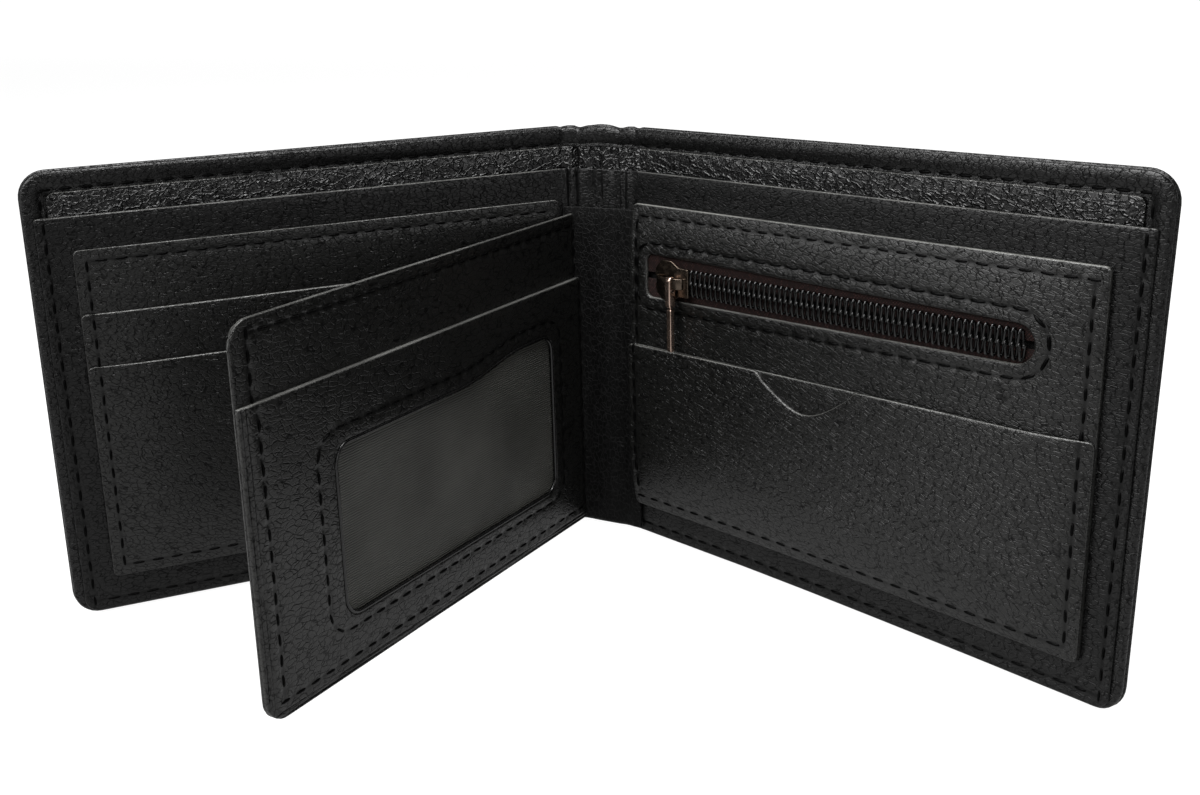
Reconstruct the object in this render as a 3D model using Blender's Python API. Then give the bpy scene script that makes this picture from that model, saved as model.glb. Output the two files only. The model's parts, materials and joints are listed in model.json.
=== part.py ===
"""A folding leather wallet that stands half open on its lower edge.

Two covers fold on the creases of a narrow spine. The left half carries card pockets and a flip wing
with a clear identity window. The right half carries a zipped coin pocket over two card pockets.

Each flat group is drawn in its own plane: u runs outwards from its crease, v runs up, and w runs from
the cover's middle towards the inside of the wallet. +Z is up, the spine lies along X, and the inside
of the fold faces -Y. Lengths are in metres.
"""

import math

import bmesh
import bpy
from mathutils import Vector

MM = 0.001

# The covers and the spine.
COVER_HEIGHT = 95 * MM
COVER_WIDTH = 118 * MM
COVER_THICKNESS = 1.2 * MM
COVER_CORNER = 5.5 * MM
HEM_WIDTH = 6 * MM
HEM_THICKNESS = 0.8 * MM
SPINE_BULGE = 0.5 * MM
PLEAT_DEPTH = 0.16 * MM
PLEAT_COUNT = 5
LEFT_BEND = math.radians(51)
RIGHT_BEND = math.radians(18)

# The play between neighbouring layers, and what a crease needs to fold through a right angle.
LAYER_GAP = 0.3 * MM
CREASE_PLAY = 0.3 * MM
CUT_OVERRUN = 1 * MM
WELD_DEPTH = 0.1 * MM
EDGE_SOFTNESS = 0.14 * MM
THIN_EDGE_SOFTNESS = 0.09 * MM

# The lining of the note compartment and the divider in front of it.
LINING_THICKNESS = 0.4 * MM
DIVIDER_THICKNESS = 0.6 * MM
DIVIDER_TOP = 85.6 * MM
DIVIDER_FOOT = 0.8 * MM
DIVIDER_SIDE_INSET = 3 * MM
DIVIDER_CORNER = 3 * MM

# The gusset strip that lines the fold between the pocket blocks.
GUSSET_THICKNESS = 0.4 * MM
GUSSET_TOP = 77 * MM
GUSSET_FOOT = 1.5 * MM

# The pocket blocks of both halves.
BLOCK_TOP = 78.7 * MM
BLOCK_FOOT = 8.2 * MM
BLOCK_WIDTH = 106 * MM
BLOCK_CORNER = 1.6 * MM
POCKET_THICKNESS = 0.4 * MM
LEFT_UPPER_SLOT = 65.5 * MM
LEFT_LOWER_SLOT = 54.5 * MM
RIGHT_REAR_SLOT = 48.7 * MM
RIGHT_FRONT_SLOT = 47.6 * MM

# The thumb notch in the front pocket of the right half.
NOTCH_CENTRE = 51 * MM
NOTCH_WIDTH = 25 * MM
NOTCH_DEPTH = 6.6 * MM

# The flip wing, its hinge tab and its window.
WING_LENGTH = 102.8 * MM
WING_TOP = 75.4 * MM
WING_FOOT = 1 * MM
WING_CORNER = 5 * MM
WING_LEATHER = 0.4 * MM
WING_FILM = 0.2 * MM
WING_SLOT = 60.6 * MM
WING_HEEL = 0.5 * MM
WING_LIFT = math.radians(34.5)
HINGE_TAB_THICKNESS = 0.6 * MM
WINDOW_NEAR = 8 * MM
WINDOW_WIDTH = 73 * MM
WINDOW_FOOT = 12.6 * MM
WINDOW_LOW_TOP = 47.3 * MM
WINDOW_WAVE_RISE = 3.1 * MM
WINDOW_WAVE_CENTRE = 31 * MM
WINDOW_WAVE_LENGTH = 26 * MM
WINDOW_CORNER = 4 * MM
FILM_OVERLAP = 3.5 * MM

# The zip: its opening in the leather, tapes, coils, slider and pull.
ZIP_MIDDLE = 63.4 * MM
ZIP_OPENING_NEAR = 7.8 * MM
ZIP_OPENING_LENGTH = 90 * MM
ZIP_OPENING_NEAR_HEIGHT = 9.6 * MM
ZIP_OPENING_FAR_HEIGHT = 7.4 * MM
ZIP_OPENING_CORNER = 1.6 * MM
ZIP_LINING_THICKNESS = 0.2 * MM
TAPE_THICKNESS = 0.2 * MM
TAPE_WIDTH = 10 * MM
TAPE_SLIT = 1.5 * MM
COIL_WIRE = 0.4 * MM
COIL_PITCH = 2 * MM
COIL_LOOP_WIDTH = 2.5 * MM
COIL_LOOP_HEIGHT = 0.84 * MM
COIL_MESH = 0.5 * MM
COIL_STEPS = 8
COIL_SIDES = 5
SLIDER_LENGTH = 9.2 * MM
SLIDER_FRONT_WIDTH = 8.8 * MM
SLIDER_REAR_WIDTH = 7 * MM
SLIDER_SHOULDER = 2 * MM
SLIDER_PLATE = 0.4 * MM
SLIDER_BASE_PLATE = 0.3 * MM
SLIDER_FLANGE = 0.4 * MM
SLIDER_START = 0.8 * MM
DIAMOND_LENGTH = 2.6 * MM
DIAMOND_WIDTH = 0.8 * MM
BRIDGE_BAR = 0.5 * MM
BRIDGE_LENGTH = 6.4 * MM
PULL_LENGTH = 16.5 * MM
PULL_THICKNESS = 1.2 * MM
PULL_STEM_WIDTH = 1.3 * MM
PULL_EYE_WALL = 0.42 * MM
PULL_EYE_PLAY = 0.25 * MM
ARC_STEPS = 6

# The levels of the shared layers, counted in w from the middle of the cover.
COVER_BACK = -COVER_THICKNESS / 2
COVER_FACE = COVER_THICKNESS / 2
HEM_FACE = COVER_FACE + HEM_THICKNESS
LINING_BACK = COVER_FACE + LAYER_GAP
LINING_FACE = LINING_BACK + LINING_THICKNESS
DIVIDER_BACK = max(HEM_FACE, LINING_FACE) + LAYER_GAP
DIVIDER_FACE = DIVIDER_BACK + DIVIDER_THICKNESS
GUSSET_BACK = DIVIDER_FACE + LAYER_GAP
GUSSET_FACE = GUSSET_BACK + GUSSET_THICKNESS

# The levels of the left pocket block and of the wing that folds down on it.
CARD_PANEL_BACK = DIVIDER_FACE + LAYER_GAP
CARD_PANEL_FACE = CARD_PANEL_BACK + POCKET_THICKNESS
UPPER_SLOT_BACK = CARD_PANEL_FACE + LAYER_GAP
UPPER_SLOT_FACE = UPPER_SLOT_BACK + POCKET_THICKNESS
LOWER_SLOT_BACK = UPPER_SLOT_FACE + LAYER_GAP
LOWER_SLOT_FACE = LOWER_SLOT_BACK + POCKET_THICKNESS
WING_THICKNESS = 3 * WING_LEATHER + WING_FILM + 3 * LAYER_GAP
WING_MIDDLE = LOWER_SLOT_FACE + LAYER_GAP + WING_THICKNESS / 2

# The levels of the right half, from the coin pocket's lining to the pull.
ZIP_LINING_BACK = DIVIDER_FACE + LAYER_GAP
ZIP_LINING_FACE = ZIP_LINING_BACK + ZIP_LINING_THICKNESS
BASE_PLATE_BACK = ZIP_LINING_FACE + LAYER_GAP
BASE_PLATE_FACE = BASE_PLATE_BACK + SLIDER_BASE_PLATE
TAPE_BACK = BASE_PLATE_FACE + LAYER_GAP
TAPE_FACE = TAPE_BACK + TAPE_THICKNESS
COIL_LEVEL = TAPE_FACE + LAYER_GAP + (COIL_LOOP_HEIGHT + COIL_WIRE) / 2
ZIP_PANEL_BACK = TAPE_FACE + LAYER_GAP
ZIP_PANEL_FACE = ZIP_PANEL_BACK + POCKET_THICKNESS
REAR_SLOT_BACK = ZIP_PANEL_FACE + LAYER_GAP
REAR_SLOT_FACE = REAR_SLOT_BACK + POCKET_THICKNESS
FRONT_SLOT_BACK = REAR_SLOT_FACE + LAYER_GAP
FRONT_SLOT_FACE = FRONT_SLOT_BACK + POCKET_THICKNESS
TOP_PLATE_BACK = COIL_LEVEL + (COIL_LOOP_HEIGHT + COIL_WIRE) / 2 + LAYER_GAP
TOP_PLATE_FACE = TOP_PLATE_BACK + SLIDER_PLATE
EYE_HOLE = BRIDGE_BAR * math.sqrt(2) / 2 + PULL_EYE_PLAY
EYE_RADIUS = EYE_HOLE + PULL_EYE_WALL
BRIDGE_LEVEL = max(TOP_PLATE_FACE, FRONT_SLOT_FACE) + PULL_EYE_PLAY + EYE_RADIUS
PULL_FACE = BRIDGE_LEVEL + EYE_RADIUS

# Closed, the left block, the wing and the pull lie face to face between the two creases.
SPINE_WIDTH = WING_MIDDLE + WING_THICKNESS / 2 + LAYER_GAP + PULL_FACE
SPINE_EDGE = COVER_FACE + CREASE_PLAY
LAYER_START = GUSSET_FACE + LAYER_GAP
LEFT_BLOCK_START = LAYER_START + HINGE_TAB_THICKNESS + LAYER_GAP
RIGHT_BLOCK_START = LAYER_START
WING_SWING = math.hypot(WING_HEEL, WING_THICKNESS / 2)
WING_HINGE_U = LAYER_START + WING_SWING
BLOCK_END = LAYER_START + BLOCK_WIDTH

SLIDER_U = ZIP_OPENING_NEAR + SLIDER_START
COIL_EDGE = COIL_LOOP_WIDTH - COIL_MESH / 2 + COIL_WIRE / 2


class Plane:
    """An empty that carries flat pieces; side is +1 where w runs along its +Y, else -1."""

    def __init__(self, name, parent, place, turn, side):
        self.empty = bpy.data.objects.new(name, None)
        bpy.context.scene.collection.objects.link(self.empty)
        self.empty.parent = parent
        self.empty.location = place
        self.empty.rotation_euler = (0, 0, turn)
        self.side = side


def stuff(name, colour, roughness, metallic=0):
    """A plain material in the colour and gloss of one of the wallet's stuffs."""
    made = bpy.data.materials.new(name)
    made.use_nodes = True
    shader = made.node_tree.nodes["Principled BSDF"]
    shader.inputs["Base Color"].default_value = (*colour, 1)
    shader.inputs["Roughness"].default_value = roughness
    shader.inputs["Metallic"].default_value = metallic
    return made


def keep(name, mesh_data, plane, material):
    """Turn finished mesh data into an object on a plane."""
    bmesh.ops.recalc_face_normals(mesh_data, faces=mesh_data.faces)
    mesh = bpy.data.meshes.new(name)
    mesh_data.to_mesh(mesh)
    mesh_data.free()
    piece = bpy.data.objects.new(name, mesh)
    bpy.context.scene.collection.objects.link(piece)
    piece.parent = plane.empty
    if material:
        mesh.materials.append(material)
    return piece


def arc(centre, radius, start, end, steps=ARC_STEPS):
    """Points along an arc, with its angles in degrees."""
    points = []
    for step in range(steps + 1):
        angle = math.radians(start + (end - start) * step / steps)
        points.append((centre[0] + radius * math.cos(angle), centre[1] + radius * math.sin(angle)))
    return points


def rounded(u0, u1, v0, v1, near=0, far=0, far_top=None):
    """A rectangle with one radius on its two near corners and one on its far corners."""
    top = far if far_top is None else far_top
    corners = [((u0, v0), near, 1, 1, 180), ((u1, v0), far, -1, 1, 270),
               ((u1, v1), top, -1, -1, 0), ((u0, v1), near, 1, -1, 90)]
    points = []
    for (u, v), radius, inward_u, inward_v, start in corners:
        if radius:
            centre = (u + inward_u * radius, v + inward_v * radius)
            points += arc(centre, radius, start, start + 90)
        else:
            points.append((u, v))
    return points


def prism(outline, low, high, to_point):
    """A closed prism; to_point turns an outline point and a depth into a place."""
    data = bmesh.new()
    base = data.faces.new([data.verts.new(to_point(a, b, low)) for a, b in outline])
    grown = bmesh.ops.extrude_face_region(data, geom=[base])["geom"]
    step = [q - p for p, q in zip(to_point(0, 0, low), to_point(0, 0, high))]
    tops = [item for item in grown if isinstance(item, bmesh.types.BMVert)]
    bmesh.ops.translate(data, verts=tops, vec=step)
    return data


def soften(piece, width):
    """Round the turned edges of a leather layer."""
    bevel = piece.modifiers.new("turned_edge", "BEVEL")
    bevel.width = width
    bevel.segments = 2
    bevel.limit_method = "ANGLE"
    bevel.angle_limit = math.radians(50)


def sheet(name, outline, back, face, plane, material):
    """A flat layer cut to an outline in u and v, between two levels of w."""
    data = prism(outline, back, face, lambda u, v, w: (u, plane.side * w, v))
    return keep(name, data, plane, material)


def hidden(tool):
    """Mark an object as a tool of a Boolean, which is no piece of the wallet."""
    tool.hide_render = True
    tool.display_type = "WIRE"
    return tool


def cutter(name, outline, back, face, plane):
    """A hidden tool for a Boolean, cut to an outline like a layer."""
    return hidden(sheet(name, outline, back, face, plane, None))


def combine(piece, tool, operation):
    """Cut a tool from a piece, or weld it on."""
    step = piece.modifiers.new(tool.name, "BOOLEAN")
    step.operation = operation
    step.solver = "EXACT"
    step.object = tool


def pleat(x, depth):
    """The ripple that folding leaves across the spine's leather."""
    return depth * math.cos(2 * math.pi * PLEAT_COUNT * x / SPINE_WIDTH)


def spine_strip(name, v0, v1, back, face, material, bulge=0, pleats_behind=0, pleats_before=0):
    """An upright strip between the creases, drawn in plan and pulled up."""
    half = SPINE_WIDTH / 2 - SPINE_EDGE
    steps = 4 * PLEAT_COUNT
    across = [half * (2 * step / steps - 1) for step in range(steps + 1)]
    outline = [(x, -back + bulge * (1 - (x / half) ** 2) + pleat(x, pleats_behind)) for x in across]
    outline += [(x, -face + pleat(x, pleats_before)) for x in reversed(across)]
    return keep(name, prism(outline, v0, v1, lambda x, y, v: (x, y, v)), spine, material)


def tube(name, path, radius, sides, plane, material):
    """A closed tube of one radius along a path that winds round the u direction."""
    data = bmesh.new()
    rings = []
    for index, place in enumerate(path):
        before = path[max(index - 1, 0)]
        after = path[min(index + 1, len(path) - 1)]
        ahead = (after - before).normalized()
        level = ahead.cross(AXIS_U).normalized()
        across = level.cross(ahead)
        ring = []
        for side in range(sides):
            angle = 2 * math.pi * side / sides
            offset = level * math.cos(angle) + across * math.sin(angle)
            ring.append(data.verts.new(place + offset * radius))
        rings.append(ring)
    for lower, upper in zip(rings, rings[1:]):
        for side in range(sides):
            after = (side + 1) % sides
            data.faces.new((lower[side], lower[after], upper[after], upper[side]))
    data.faces.new(rings[0])
    data.faces.new(rings[-1])
    return keep(name, data, plane, material)


def least_self_gap(path, radius, turn_points):
    """The narrowest space between one turn of a wound path and the later ones."""
    least = math.inf
    for index, place in enumerate(path):
        for other in path[index + turn_points // 2:index + 2 * turn_points]:
            if (other - place).length < least:
                least = (other - place).length
    return least - 2 * radius


def cover_half(name, plane, material):
    """A cover: a leather sheet with a rolled crease edge, its hem a rim on the other three sides."""
    outline = rounded(0, COVER_WIDTH, 0, COVER_HEIGHT, 0, COVER_CORNER)
    cover = sheet(name, outline, COVER_BACK, HEM_FACE, plane, material)
    inside = rounded(LAYER_START, COVER_WIDTH - HEM_WIDTH, HEM_WIDTH, COVER_HEIGHT - HEM_WIDTH,
                     0, BLOCK_CORNER)
    above = COVER_HEIGHT + CUT_OVERRUN
    recess = [(-CUT_OVERRUN, -CUT_OVERRUN), (LAYER_START, -CUT_OVERRUN), *inside,
              (LAYER_START, above), (-CUT_OVERRUN, above)]
    tool = cutter(f"{name}_recess_cutter", recess, COVER_FACE, HEM_FACE + CUT_OVERRUN, plane)
    combine(cover, tool, "DIFFERENCE")
    nose = arc((0, 0), COVER_FACE, 90, 270) + [(WELD_DEPTH, COVER_BACK), (WELD_DEPTH, COVER_FACE)]
    data = prism(nose, 0, COVER_HEIGHT, lambda u, w, v: (u, plane.side * w, v))
    combine(cover, hidden(keep(f"{name}_crease_tool", data, plane, None)), "UNION")
    soften(cover, EDGE_SOFTNESS)
    return cover


def lining_half(name, plane, material):
    """The note compartment's lining, which lies inside the hem."""
    outline = rounded(LAYER_START, COVER_WIDTH - HEM_WIDTH - LAYER_GAP, HEM_WIDTH + LAYER_GAP,
                      COVER_HEIGHT - HEM_WIDTH - LAYER_GAP, 0, BLOCK_CORNER)
    return sheet(name, outline, LINING_BACK, LINING_FACE, plane, material)


def divider_half(name, plane, material):
    """The panel in front of the notes, which every pocket is sewn to."""
    outline = rounded(LAYER_START, COVER_WIDTH - DIVIDER_SIDE_INSET, DIVIDER_FOOT, DIVIDER_TOP,
                      0, DIVIDER_CORNER, 0)
    divider = sheet(name, outline, DIVIDER_BACK, DIVIDER_FACE, plane, material)
    soften(divider, EDGE_SOFTNESS)
    return divider


def pocket(name, start, top, back, plane, material):
    """A plain pocket layer of a block, from the block's foot to its own top edge."""
    outline = rounded(start, BLOCK_END, BLOCK_FOOT, top, BLOCK_CORNER, BLOCK_CORNER)
    layer = sheet(name, outline, back, back + POCKET_THICKNESS, plane, material)
    soften(layer, THIN_EDGE_SOFTNESS)
    return layer


def make_spine():
    """The spine: pleated cover, lining, divider and gusset, all between the creases."""
    cover = spine_strip("cover_spine", 0, COVER_HEIGHT, COVER_BACK, HEM_FACE, COVER_LEATHER,
                        SPINE_BULGE, PLEAT_DEPTH, 0)
    half = SPINE_WIDTH / 2
    recess = rounded(-half, half, HEM_WIDTH, COVER_HEIGHT - HEM_WIDTH)
    tool = cutter("cover_spine_recess_cutter", recess, COVER_FACE, HEM_FACE + CUT_OVERRUN, spine)
    combine(cover, tool, "DIFFERENCE")
    spine_strip("lining_spine", HEM_WIDTH + LAYER_GAP, COVER_HEIGHT - HEM_WIDTH - LAYER_GAP,
                LINING_BACK, LINING_FACE, LINING_LEATHER)
    spine_strip("divider_spine", DIVIDER_FOOT, DIVIDER_TOP, DIVIDER_BACK, DIVIDER_FACE,
                POCKET_LEATHER, 0, 0, PLEAT_DEPTH / 2)
    spine_strip("gusset_spine", GUSSET_FOOT, GUSSET_TOP, GUSSET_BACK, GUSSET_FACE, POCKET_LEATHER)


def make_left_half():
    """The left cover with its note lining, divider and three card pockets."""
    cover_half("cover_left", left, COVER_LEATHER)
    lining_half("lining_left", left, LINING_LEATHER)
    divider_half("divider_left", left, POCKET_LEATHER)
    pocket("card_panel_left", LEFT_BLOCK_START, BLOCK_TOP, CARD_PANEL_BACK, left, POCKET_LEATHER)
    pocket("card_slot_left_upper", LEFT_BLOCK_START, LEFT_UPPER_SLOT, UPPER_SLOT_BACK, left,
           POCKET_LEATHER)
    pocket("card_slot_left_lower", LEFT_BLOCK_START, LEFT_LOWER_SLOT, LOWER_SLOT_BACK, left,
           POCKET_LEATHER)
    tab = rounded(LAYER_START, LAYER_START + HINGE_TAB_THICKNESS, WING_FOOT, WING_TOP)
    sheet("wing_hinge_tab", tab, CARD_PANEL_BACK, LOWER_SLOT_FACE, left, POCKET_LEATHER)


def wing_window_outline(margin):
    """The window's outline, widened by a margin; its top edge steps up in one soft wave."""
    near = WINDOW_NEAR - margin
    far = WINDOW_NEAR + WINDOW_WIDTH + margin
    foot = WINDOW_FOOT - margin
    low = WINDOW_LOW_TOP + margin
    high = low + WINDOW_WAVE_RISE
    radius = WINDOW_CORNER + margin
    points = arc((near + radius, foot + radius), radius, 180, 270)
    points += arc((far - radius, foot + radius), radius, 270, 360)
    points += arc((far - radius, low - radius), radius, 0, 90)
    steps = 2 * ARC_STEPS
    for step in range(steps + 1):
        share = step / steps
        u = WINDOW_WAVE_CENTRE + WINDOW_WAVE_LENGTH * (1 / 2 - share)
        points.append((u, low + (high - low) * (1 - math.cos(math.pi * share)) / 2))
    points += arc((near + radius, high - radius), radius, 90, 180)
    return points


def make_wing():
    """The flip wing: back leather, a card pocket, and a clear film behind a framed window."""
    back = -WING_THICKNESS / 2
    whole = rounded(-WING_HEEL, WING_LENGTH, WING_FOOT, WING_TOP, 0, WING_CORNER)
    layer = sheet("wing_back", whole, back, back + WING_LEATHER, wing, POCKET_LEATHER)
    soften(layer, THIN_EDGE_SOFTNESS)
    card_back = back + WING_LEATHER + LAYER_GAP
    layer = sheet("wing_card_panel", whole, card_back, card_back + WING_LEATHER, wing, POCKET_LEATHER)
    soften(layer, THIN_EDGE_SOFTNESS)
    film_back = card_back + WING_LEATHER + LAYER_GAP
    film = rounded(WINDOW_NEAR - FILM_OVERLAP, WINDOW_NEAR + WINDOW_WIDTH + FILM_OVERLAP,
                   WINDOW_FOOT - FILM_OVERLAP, WINDOW_LOW_TOP + WINDOW_WAVE_RISE + FILM_OVERLAP,
                   BLOCK_CORNER, BLOCK_CORNER)
    sheet("wing_window_film", film, film_back, film_back + WING_FILM, wing, CLEAR_FILM)
    front_back = film_back + WING_FILM + LAYER_GAP
    front = rounded(-WING_HEEL, WING_LENGTH, WING_FOOT, WING_SLOT, 0, WING_CORNER, 0)
    layer = sheet("wing_window_panel", front, front_back, front_back + WING_LEATHER, wing,
                  POCKET_LEATHER)
    tool = cutter("wing_window_cutter", wing_window_outline(0), front_back - CUT_OVERRUN,
                  front_back + WING_LEATHER + CUT_OVERRUN, wing)
    combine(layer, tool, "DIFFERENCE")
    soften(layer, THIN_EDGE_SOFTNESS)


def zip_opening_outline():
    """The opening in the leather: blunt at the slider's end, tapering to a half round."""
    near = ZIP_OPENING_NEAR
    far_radius = ZIP_OPENING_FAR_HEIGHT / 2
    near_half = ZIP_OPENING_NEAR_HEIGHT / 2
    corner = ZIP_OPENING_CORNER
    far_middle = (near + ZIP_OPENING_LENGTH - far_radius, ZIP_MIDDLE)
    points = arc((near + corner, ZIP_MIDDLE - near_half + corner), corner, 180, 270)
    points += arc(far_middle, far_radius, -90, 90, 2 * ARC_STEPS)
    points += arc((near + corner, ZIP_MIDDLE + near_half - corner), corner, 90, 180)
    return points


def front_pocket_outline():
    """The front card pocket, whose top edge dips in a soft thumb notch."""
    points = rounded(RIGHT_BLOCK_START, BLOCK_END, BLOCK_FOOT, RIGHT_FRONT_SLOT, BLOCK_CORNER,
                     BLOCK_CORNER)
    steps = 2 * ARC_STEPS
    notch = []
    for step in range(steps + 1):
        share = step / steps
        depth = NOTCH_DEPTH * (1 - math.cos(2 * math.pi * share)) / 2
        notch.append((NOTCH_CENTRE + NOTCH_WIDTH * (1 / 2 - share), RIGHT_FRONT_SLOT - depth))
    near_top = ARC_STEPS + 1
    return points[:-near_top] + notch + points[-near_top:]


def coil_path(direction):
    """The middle line of one coil; direction is +1 for the upper row, -1 for the lower."""
    start = SLIDER_U + SLIDER_SHOULDER + DIAMOND_LENGTH + COIL_WIRE / 2 + LAYER_GAP
    end = ZIP_OPENING_NEAR + ZIP_OPENING_LENGTH - COIL_PITCH
    turns = int((end - start) / COIL_PITCH)
    middle = ZIP_MIDDLE + direction * (COIL_LOOP_WIDTH - COIL_MESH) / 2
    phase = 0 if direction > 0 else COIL_PITCH / 2
    path = []
    for step in range(turns * COIL_STEPS + 1):
        angle = 2 * math.pi * step / COIL_STEPS
        u = start + phase + COIL_PITCH * step / COIL_STEPS
        v = middle - direction * COIL_LOOP_WIDTH / 2 * math.cos(angle)
        w = COIL_LEVEL + COIL_LOOP_HEIGHT / 2 * math.sin(angle)
        path.append(Vector((u, right.side * w, v)))
    return path


def make_right_half():
    """The right cover with its lining, divider, zipped coin pocket and two card pockets."""
    cover_half("cover_right", right, COVER_LEATHER)
    lining_half("lining_right", right, LINING_LEATHER)
    divider_half("divider_right", right, POCKET_LEATHER)
    bag = rounded(RIGHT_BLOCK_START, BLOCK_END, BLOCK_FOOT, BLOCK_TOP, BLOCK_CORNER, BLOCK_CORNER)
    sheet("coin_pocket_lining", bag, ZIP_LINING_BACK, ZIP_LINING_FACE, right, POCKET_CLOTH)
    for name, direction in (("zip_tape_upper", 1), ("zip_tape_lower", -1)):
        inner = ZIP_MIDDLE + direction * TAPE_SLIT / 2
        outer = inner + direction * TAPE_WIDTH
        strip = rounded(RIGHT_BLOCK_START, BLOCK_END, min(inner, outer), max(inner, outer))
        sheet(name, strip, TAPE_BACK, TAPE_FACE, right, TAPE_CLOTH)
    for name, direction in (("zip_coil_upper", 1), ("zip_coil_lower", -1)):
        path = coil_path(direction)
        coil = tube(name, path, COIL_WIRE / 2, COIL_SIDES, right, COIL_NYLON)
        coil.data.shade_smooth()
        print(name, "least gap to itself in mm:",
              round(least_self_gap(path, COIL_WIRE / 2, COIL_STEPS) / MM, 3))
    panel = pocket("zip_panel", RIGHT_BLOCK_START, BLOCK_TOP, ZIP_PANEL_BACK, right, POCKET_LEATHER)
    tool = cutter("zip_opening_cutter", zip_opening_outline(), ZIP_PANEL_BACK - CUT_OVERRUN,
                  ZIP_PANEL_FACE + CUT_OVERRUN, right)
    panel.modifiers.clear()
    combine(panel, tool, "DIFFERENCE")
    soften(panel, THIN_EDGE_SOFTNESS)
    pocket("card_slot_right_rear", RIGHT_BLOCK_START, RIGHT_REAR_SLOT, REAR_SLOT_BACK, right,
           POCKET_LEATHER)
    layer = sheet("card_slot_right_front", front_pocket_outline(), FRONT_SLOT_BACK, FRONT_SLOT_FACE,
                  right, POCKET_LEATHER)
    soften(layer, THIN_EDGE_SOFTNESS)


def slider_plate_outline():
    """A slider plate from above: notched nose, broad shoulders, drawn in behind them."""
    front = SLIDER_FRONT_WIDTH / 2
    rear = SLIDER_REAR_WIDTH / 2
    nose = SLIDER_SHOULDER / 2
    end = SLIDER_LENGTH
    waist = SLIDER_LENGTH / 2
    lower = [(nose, -front), (SLIDER_SHOULDER + nose, -front), (waist, -rear), (end - nose, -rear),
             (end, nose - rear)]
    upper = [(u, -v) for u, v in reversed(lower)]
    return lower + upper + [(0, front - nose), (0, nose), (nose, 0), (0, -nose), (0, nose - front)]


def make_slider():
    """The slider: two plates on a diamond, side flanges round the coils, and the pull's bridge."""
    top = sheet("slider_body", slider_plate_outline(), TOP_PLATE_BACK, TOP_PLATE_FACE, slider,
                SLIDER_METAL)
    base = cutter("slider_base_tool", slider_plate_outline(), BASE_PLATE_BACK, BASE_PLATE_FACE, slider)
    half = DIAMOND_LENGTH / 2
    middle = SLIDER_SHOULDER + half
    diamond = [(middle - half, 0), (middle, -DIAMOND_WIDTH / 2), (middle + half, 0),
               (middle, DIAMOND_WIDTH / 2)]
    neck = cutter("slider_diamond_tool", diamond, BASE_PLATE_FACE - WELD_DEPTH,
                  TOP_PLATE_BACK + WELD_DEPTH, slider)
    tools = [neck, base]
    inner = COIL_EDGE + LAYER_GAP
    for name, low in (("lower", -inner - SLIDER_FLANGE), ("upper", inner)):
        side = rounded(SLIDER_LENGTH / 2, SLIDER_LENGTH - SLIDER_SHOULDER, low, low + SLIDER_FLANGE)
        tools.append(cutter(f"slider_flange_{name}_tool", side, TAPE_FACE + LAYER_GAP,
                            TOP_PLATE_BACK + WELD_DEPTH, slider))
    for tool in tools:
        combine(top, tool, "UNION")
    start = (SLIDER_LENGTH - BRIDGE_LENGTH) / 2
    high = BRIDGE_LEVEL + BRIDGE_BAR / 2
    low = BRIDGE_LEVEL - BRIDGE_BAR / 2
    foot = TOP_PLATE_FACE - WELD_DEPTH
    end = start + BRIDGE_LENGTH
    lean = BRIDGE_BAR / 2
    arch = [(start, foot), (start + lean, high - lean), (start + 2 * lean, high), (end - 2 * lean, high),
            (end - lean, high - lean), (end, foot), (end - 2 * lean, foot), (end - 3 * lean, low),
            (start + 3 * lean, low), (start + 2 * lean, foot)]
    data = prism(arch, -BRIDGE_BAR / 2, BRIDGE_BAR / 2, lambda u, w, v: (u, slider.side * w, v))
    combine(top, hidden(keep("slider_bridge_tool", data, slider, None)), "UNION")


def make_pull():
    """The pull: a flat bar seen edge on, with a round eye that swings on the bridge."""
    stem = PULL_STEM_WIDTH / 2
    opening = math.degrees(math.asin(stem / EYE_RADIUS))
    outline = arc((0, 0), EYE_RADIUS, -90 + opening, 270 - opening, 3 * ARC_STEPS)
    outline += arc((0, stem - PULL_LENGTH), stem, 180, 360)
    data = prism(outline, -PULL_THICKNESS / 2, PULL_THICKNESS / 2,
                 lambda w, v, u: (u, pull.side * w, v))
    bar = keep("pull_tab", data, pull, SLIDER_METAL)
    hole = arc((0, 0), EYE_HOLE, 0, 360 - 360 / (2 * ARC_STEPS), 2 * ARC_STEPS - 1)
    data = prism(hole, -PULL_THICKNESS, PULL_THICKNESS, lambda w, v, u: (u, pull.side * w, v))
    combine(bar, hidden(keep("pull_eye_cutter", data, pull, None)), "DIFFERENCE")


def turned(place, angle, u, w, side):
    """Where a point of a plane lies in plan, for a plane at a place turned by an angle."""
    x = place[0] + u * math.cos(angle) - side * w * math.sin(angle)
    y = place[1] + u * math.sin(angle) + side * w * math.cos(angle)
    return x, y


def plan_centre():
    """The middle of the wallet's plan at rest, from the corners that reach furthest."""
    left_turn = math.pi + LEFT_BEND
    left_end = turned((-SPINE_WIDTH / 2, 0), left_turn, COVER_WIDTH, COVER_BACK, 1)
    right_end = turned((SPINE_WIDTH / 2, 0), -RIGHT_BEND, COVER_WIDTH, COVER_BACK, -1)
    hinge = turned((-SPINE_WIDTH / 2, 0), left_turn, WING_HINGE_U, WING_MIDDLE, 1)
    wing_ends = [turned(hinge, left_turn + WING_LIFT, WING_LENGTH, side * WING_THICKNESS / 2, 1)
                 for side in (-1, 1)]
    left_front = turned((-SPINE_WIDTH / 2, 0), left_turn, COVER_WIDTH, HEM_FACE, 1)
    front = min(wing_ends[0][1], wing_ends[1][1], left_front[1])
    back = -COVER_BACK + SPINE_BULGE + PLEAT_DEPTH
    return (left_end[0] + right_end[0]) / 2, (front + back) / 2


for old in list(bpy.data.objects):
    bpy.data.objects.remove(old, do_unlink=True)

AXIS_U = Vector((1, 0, 0))

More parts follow.
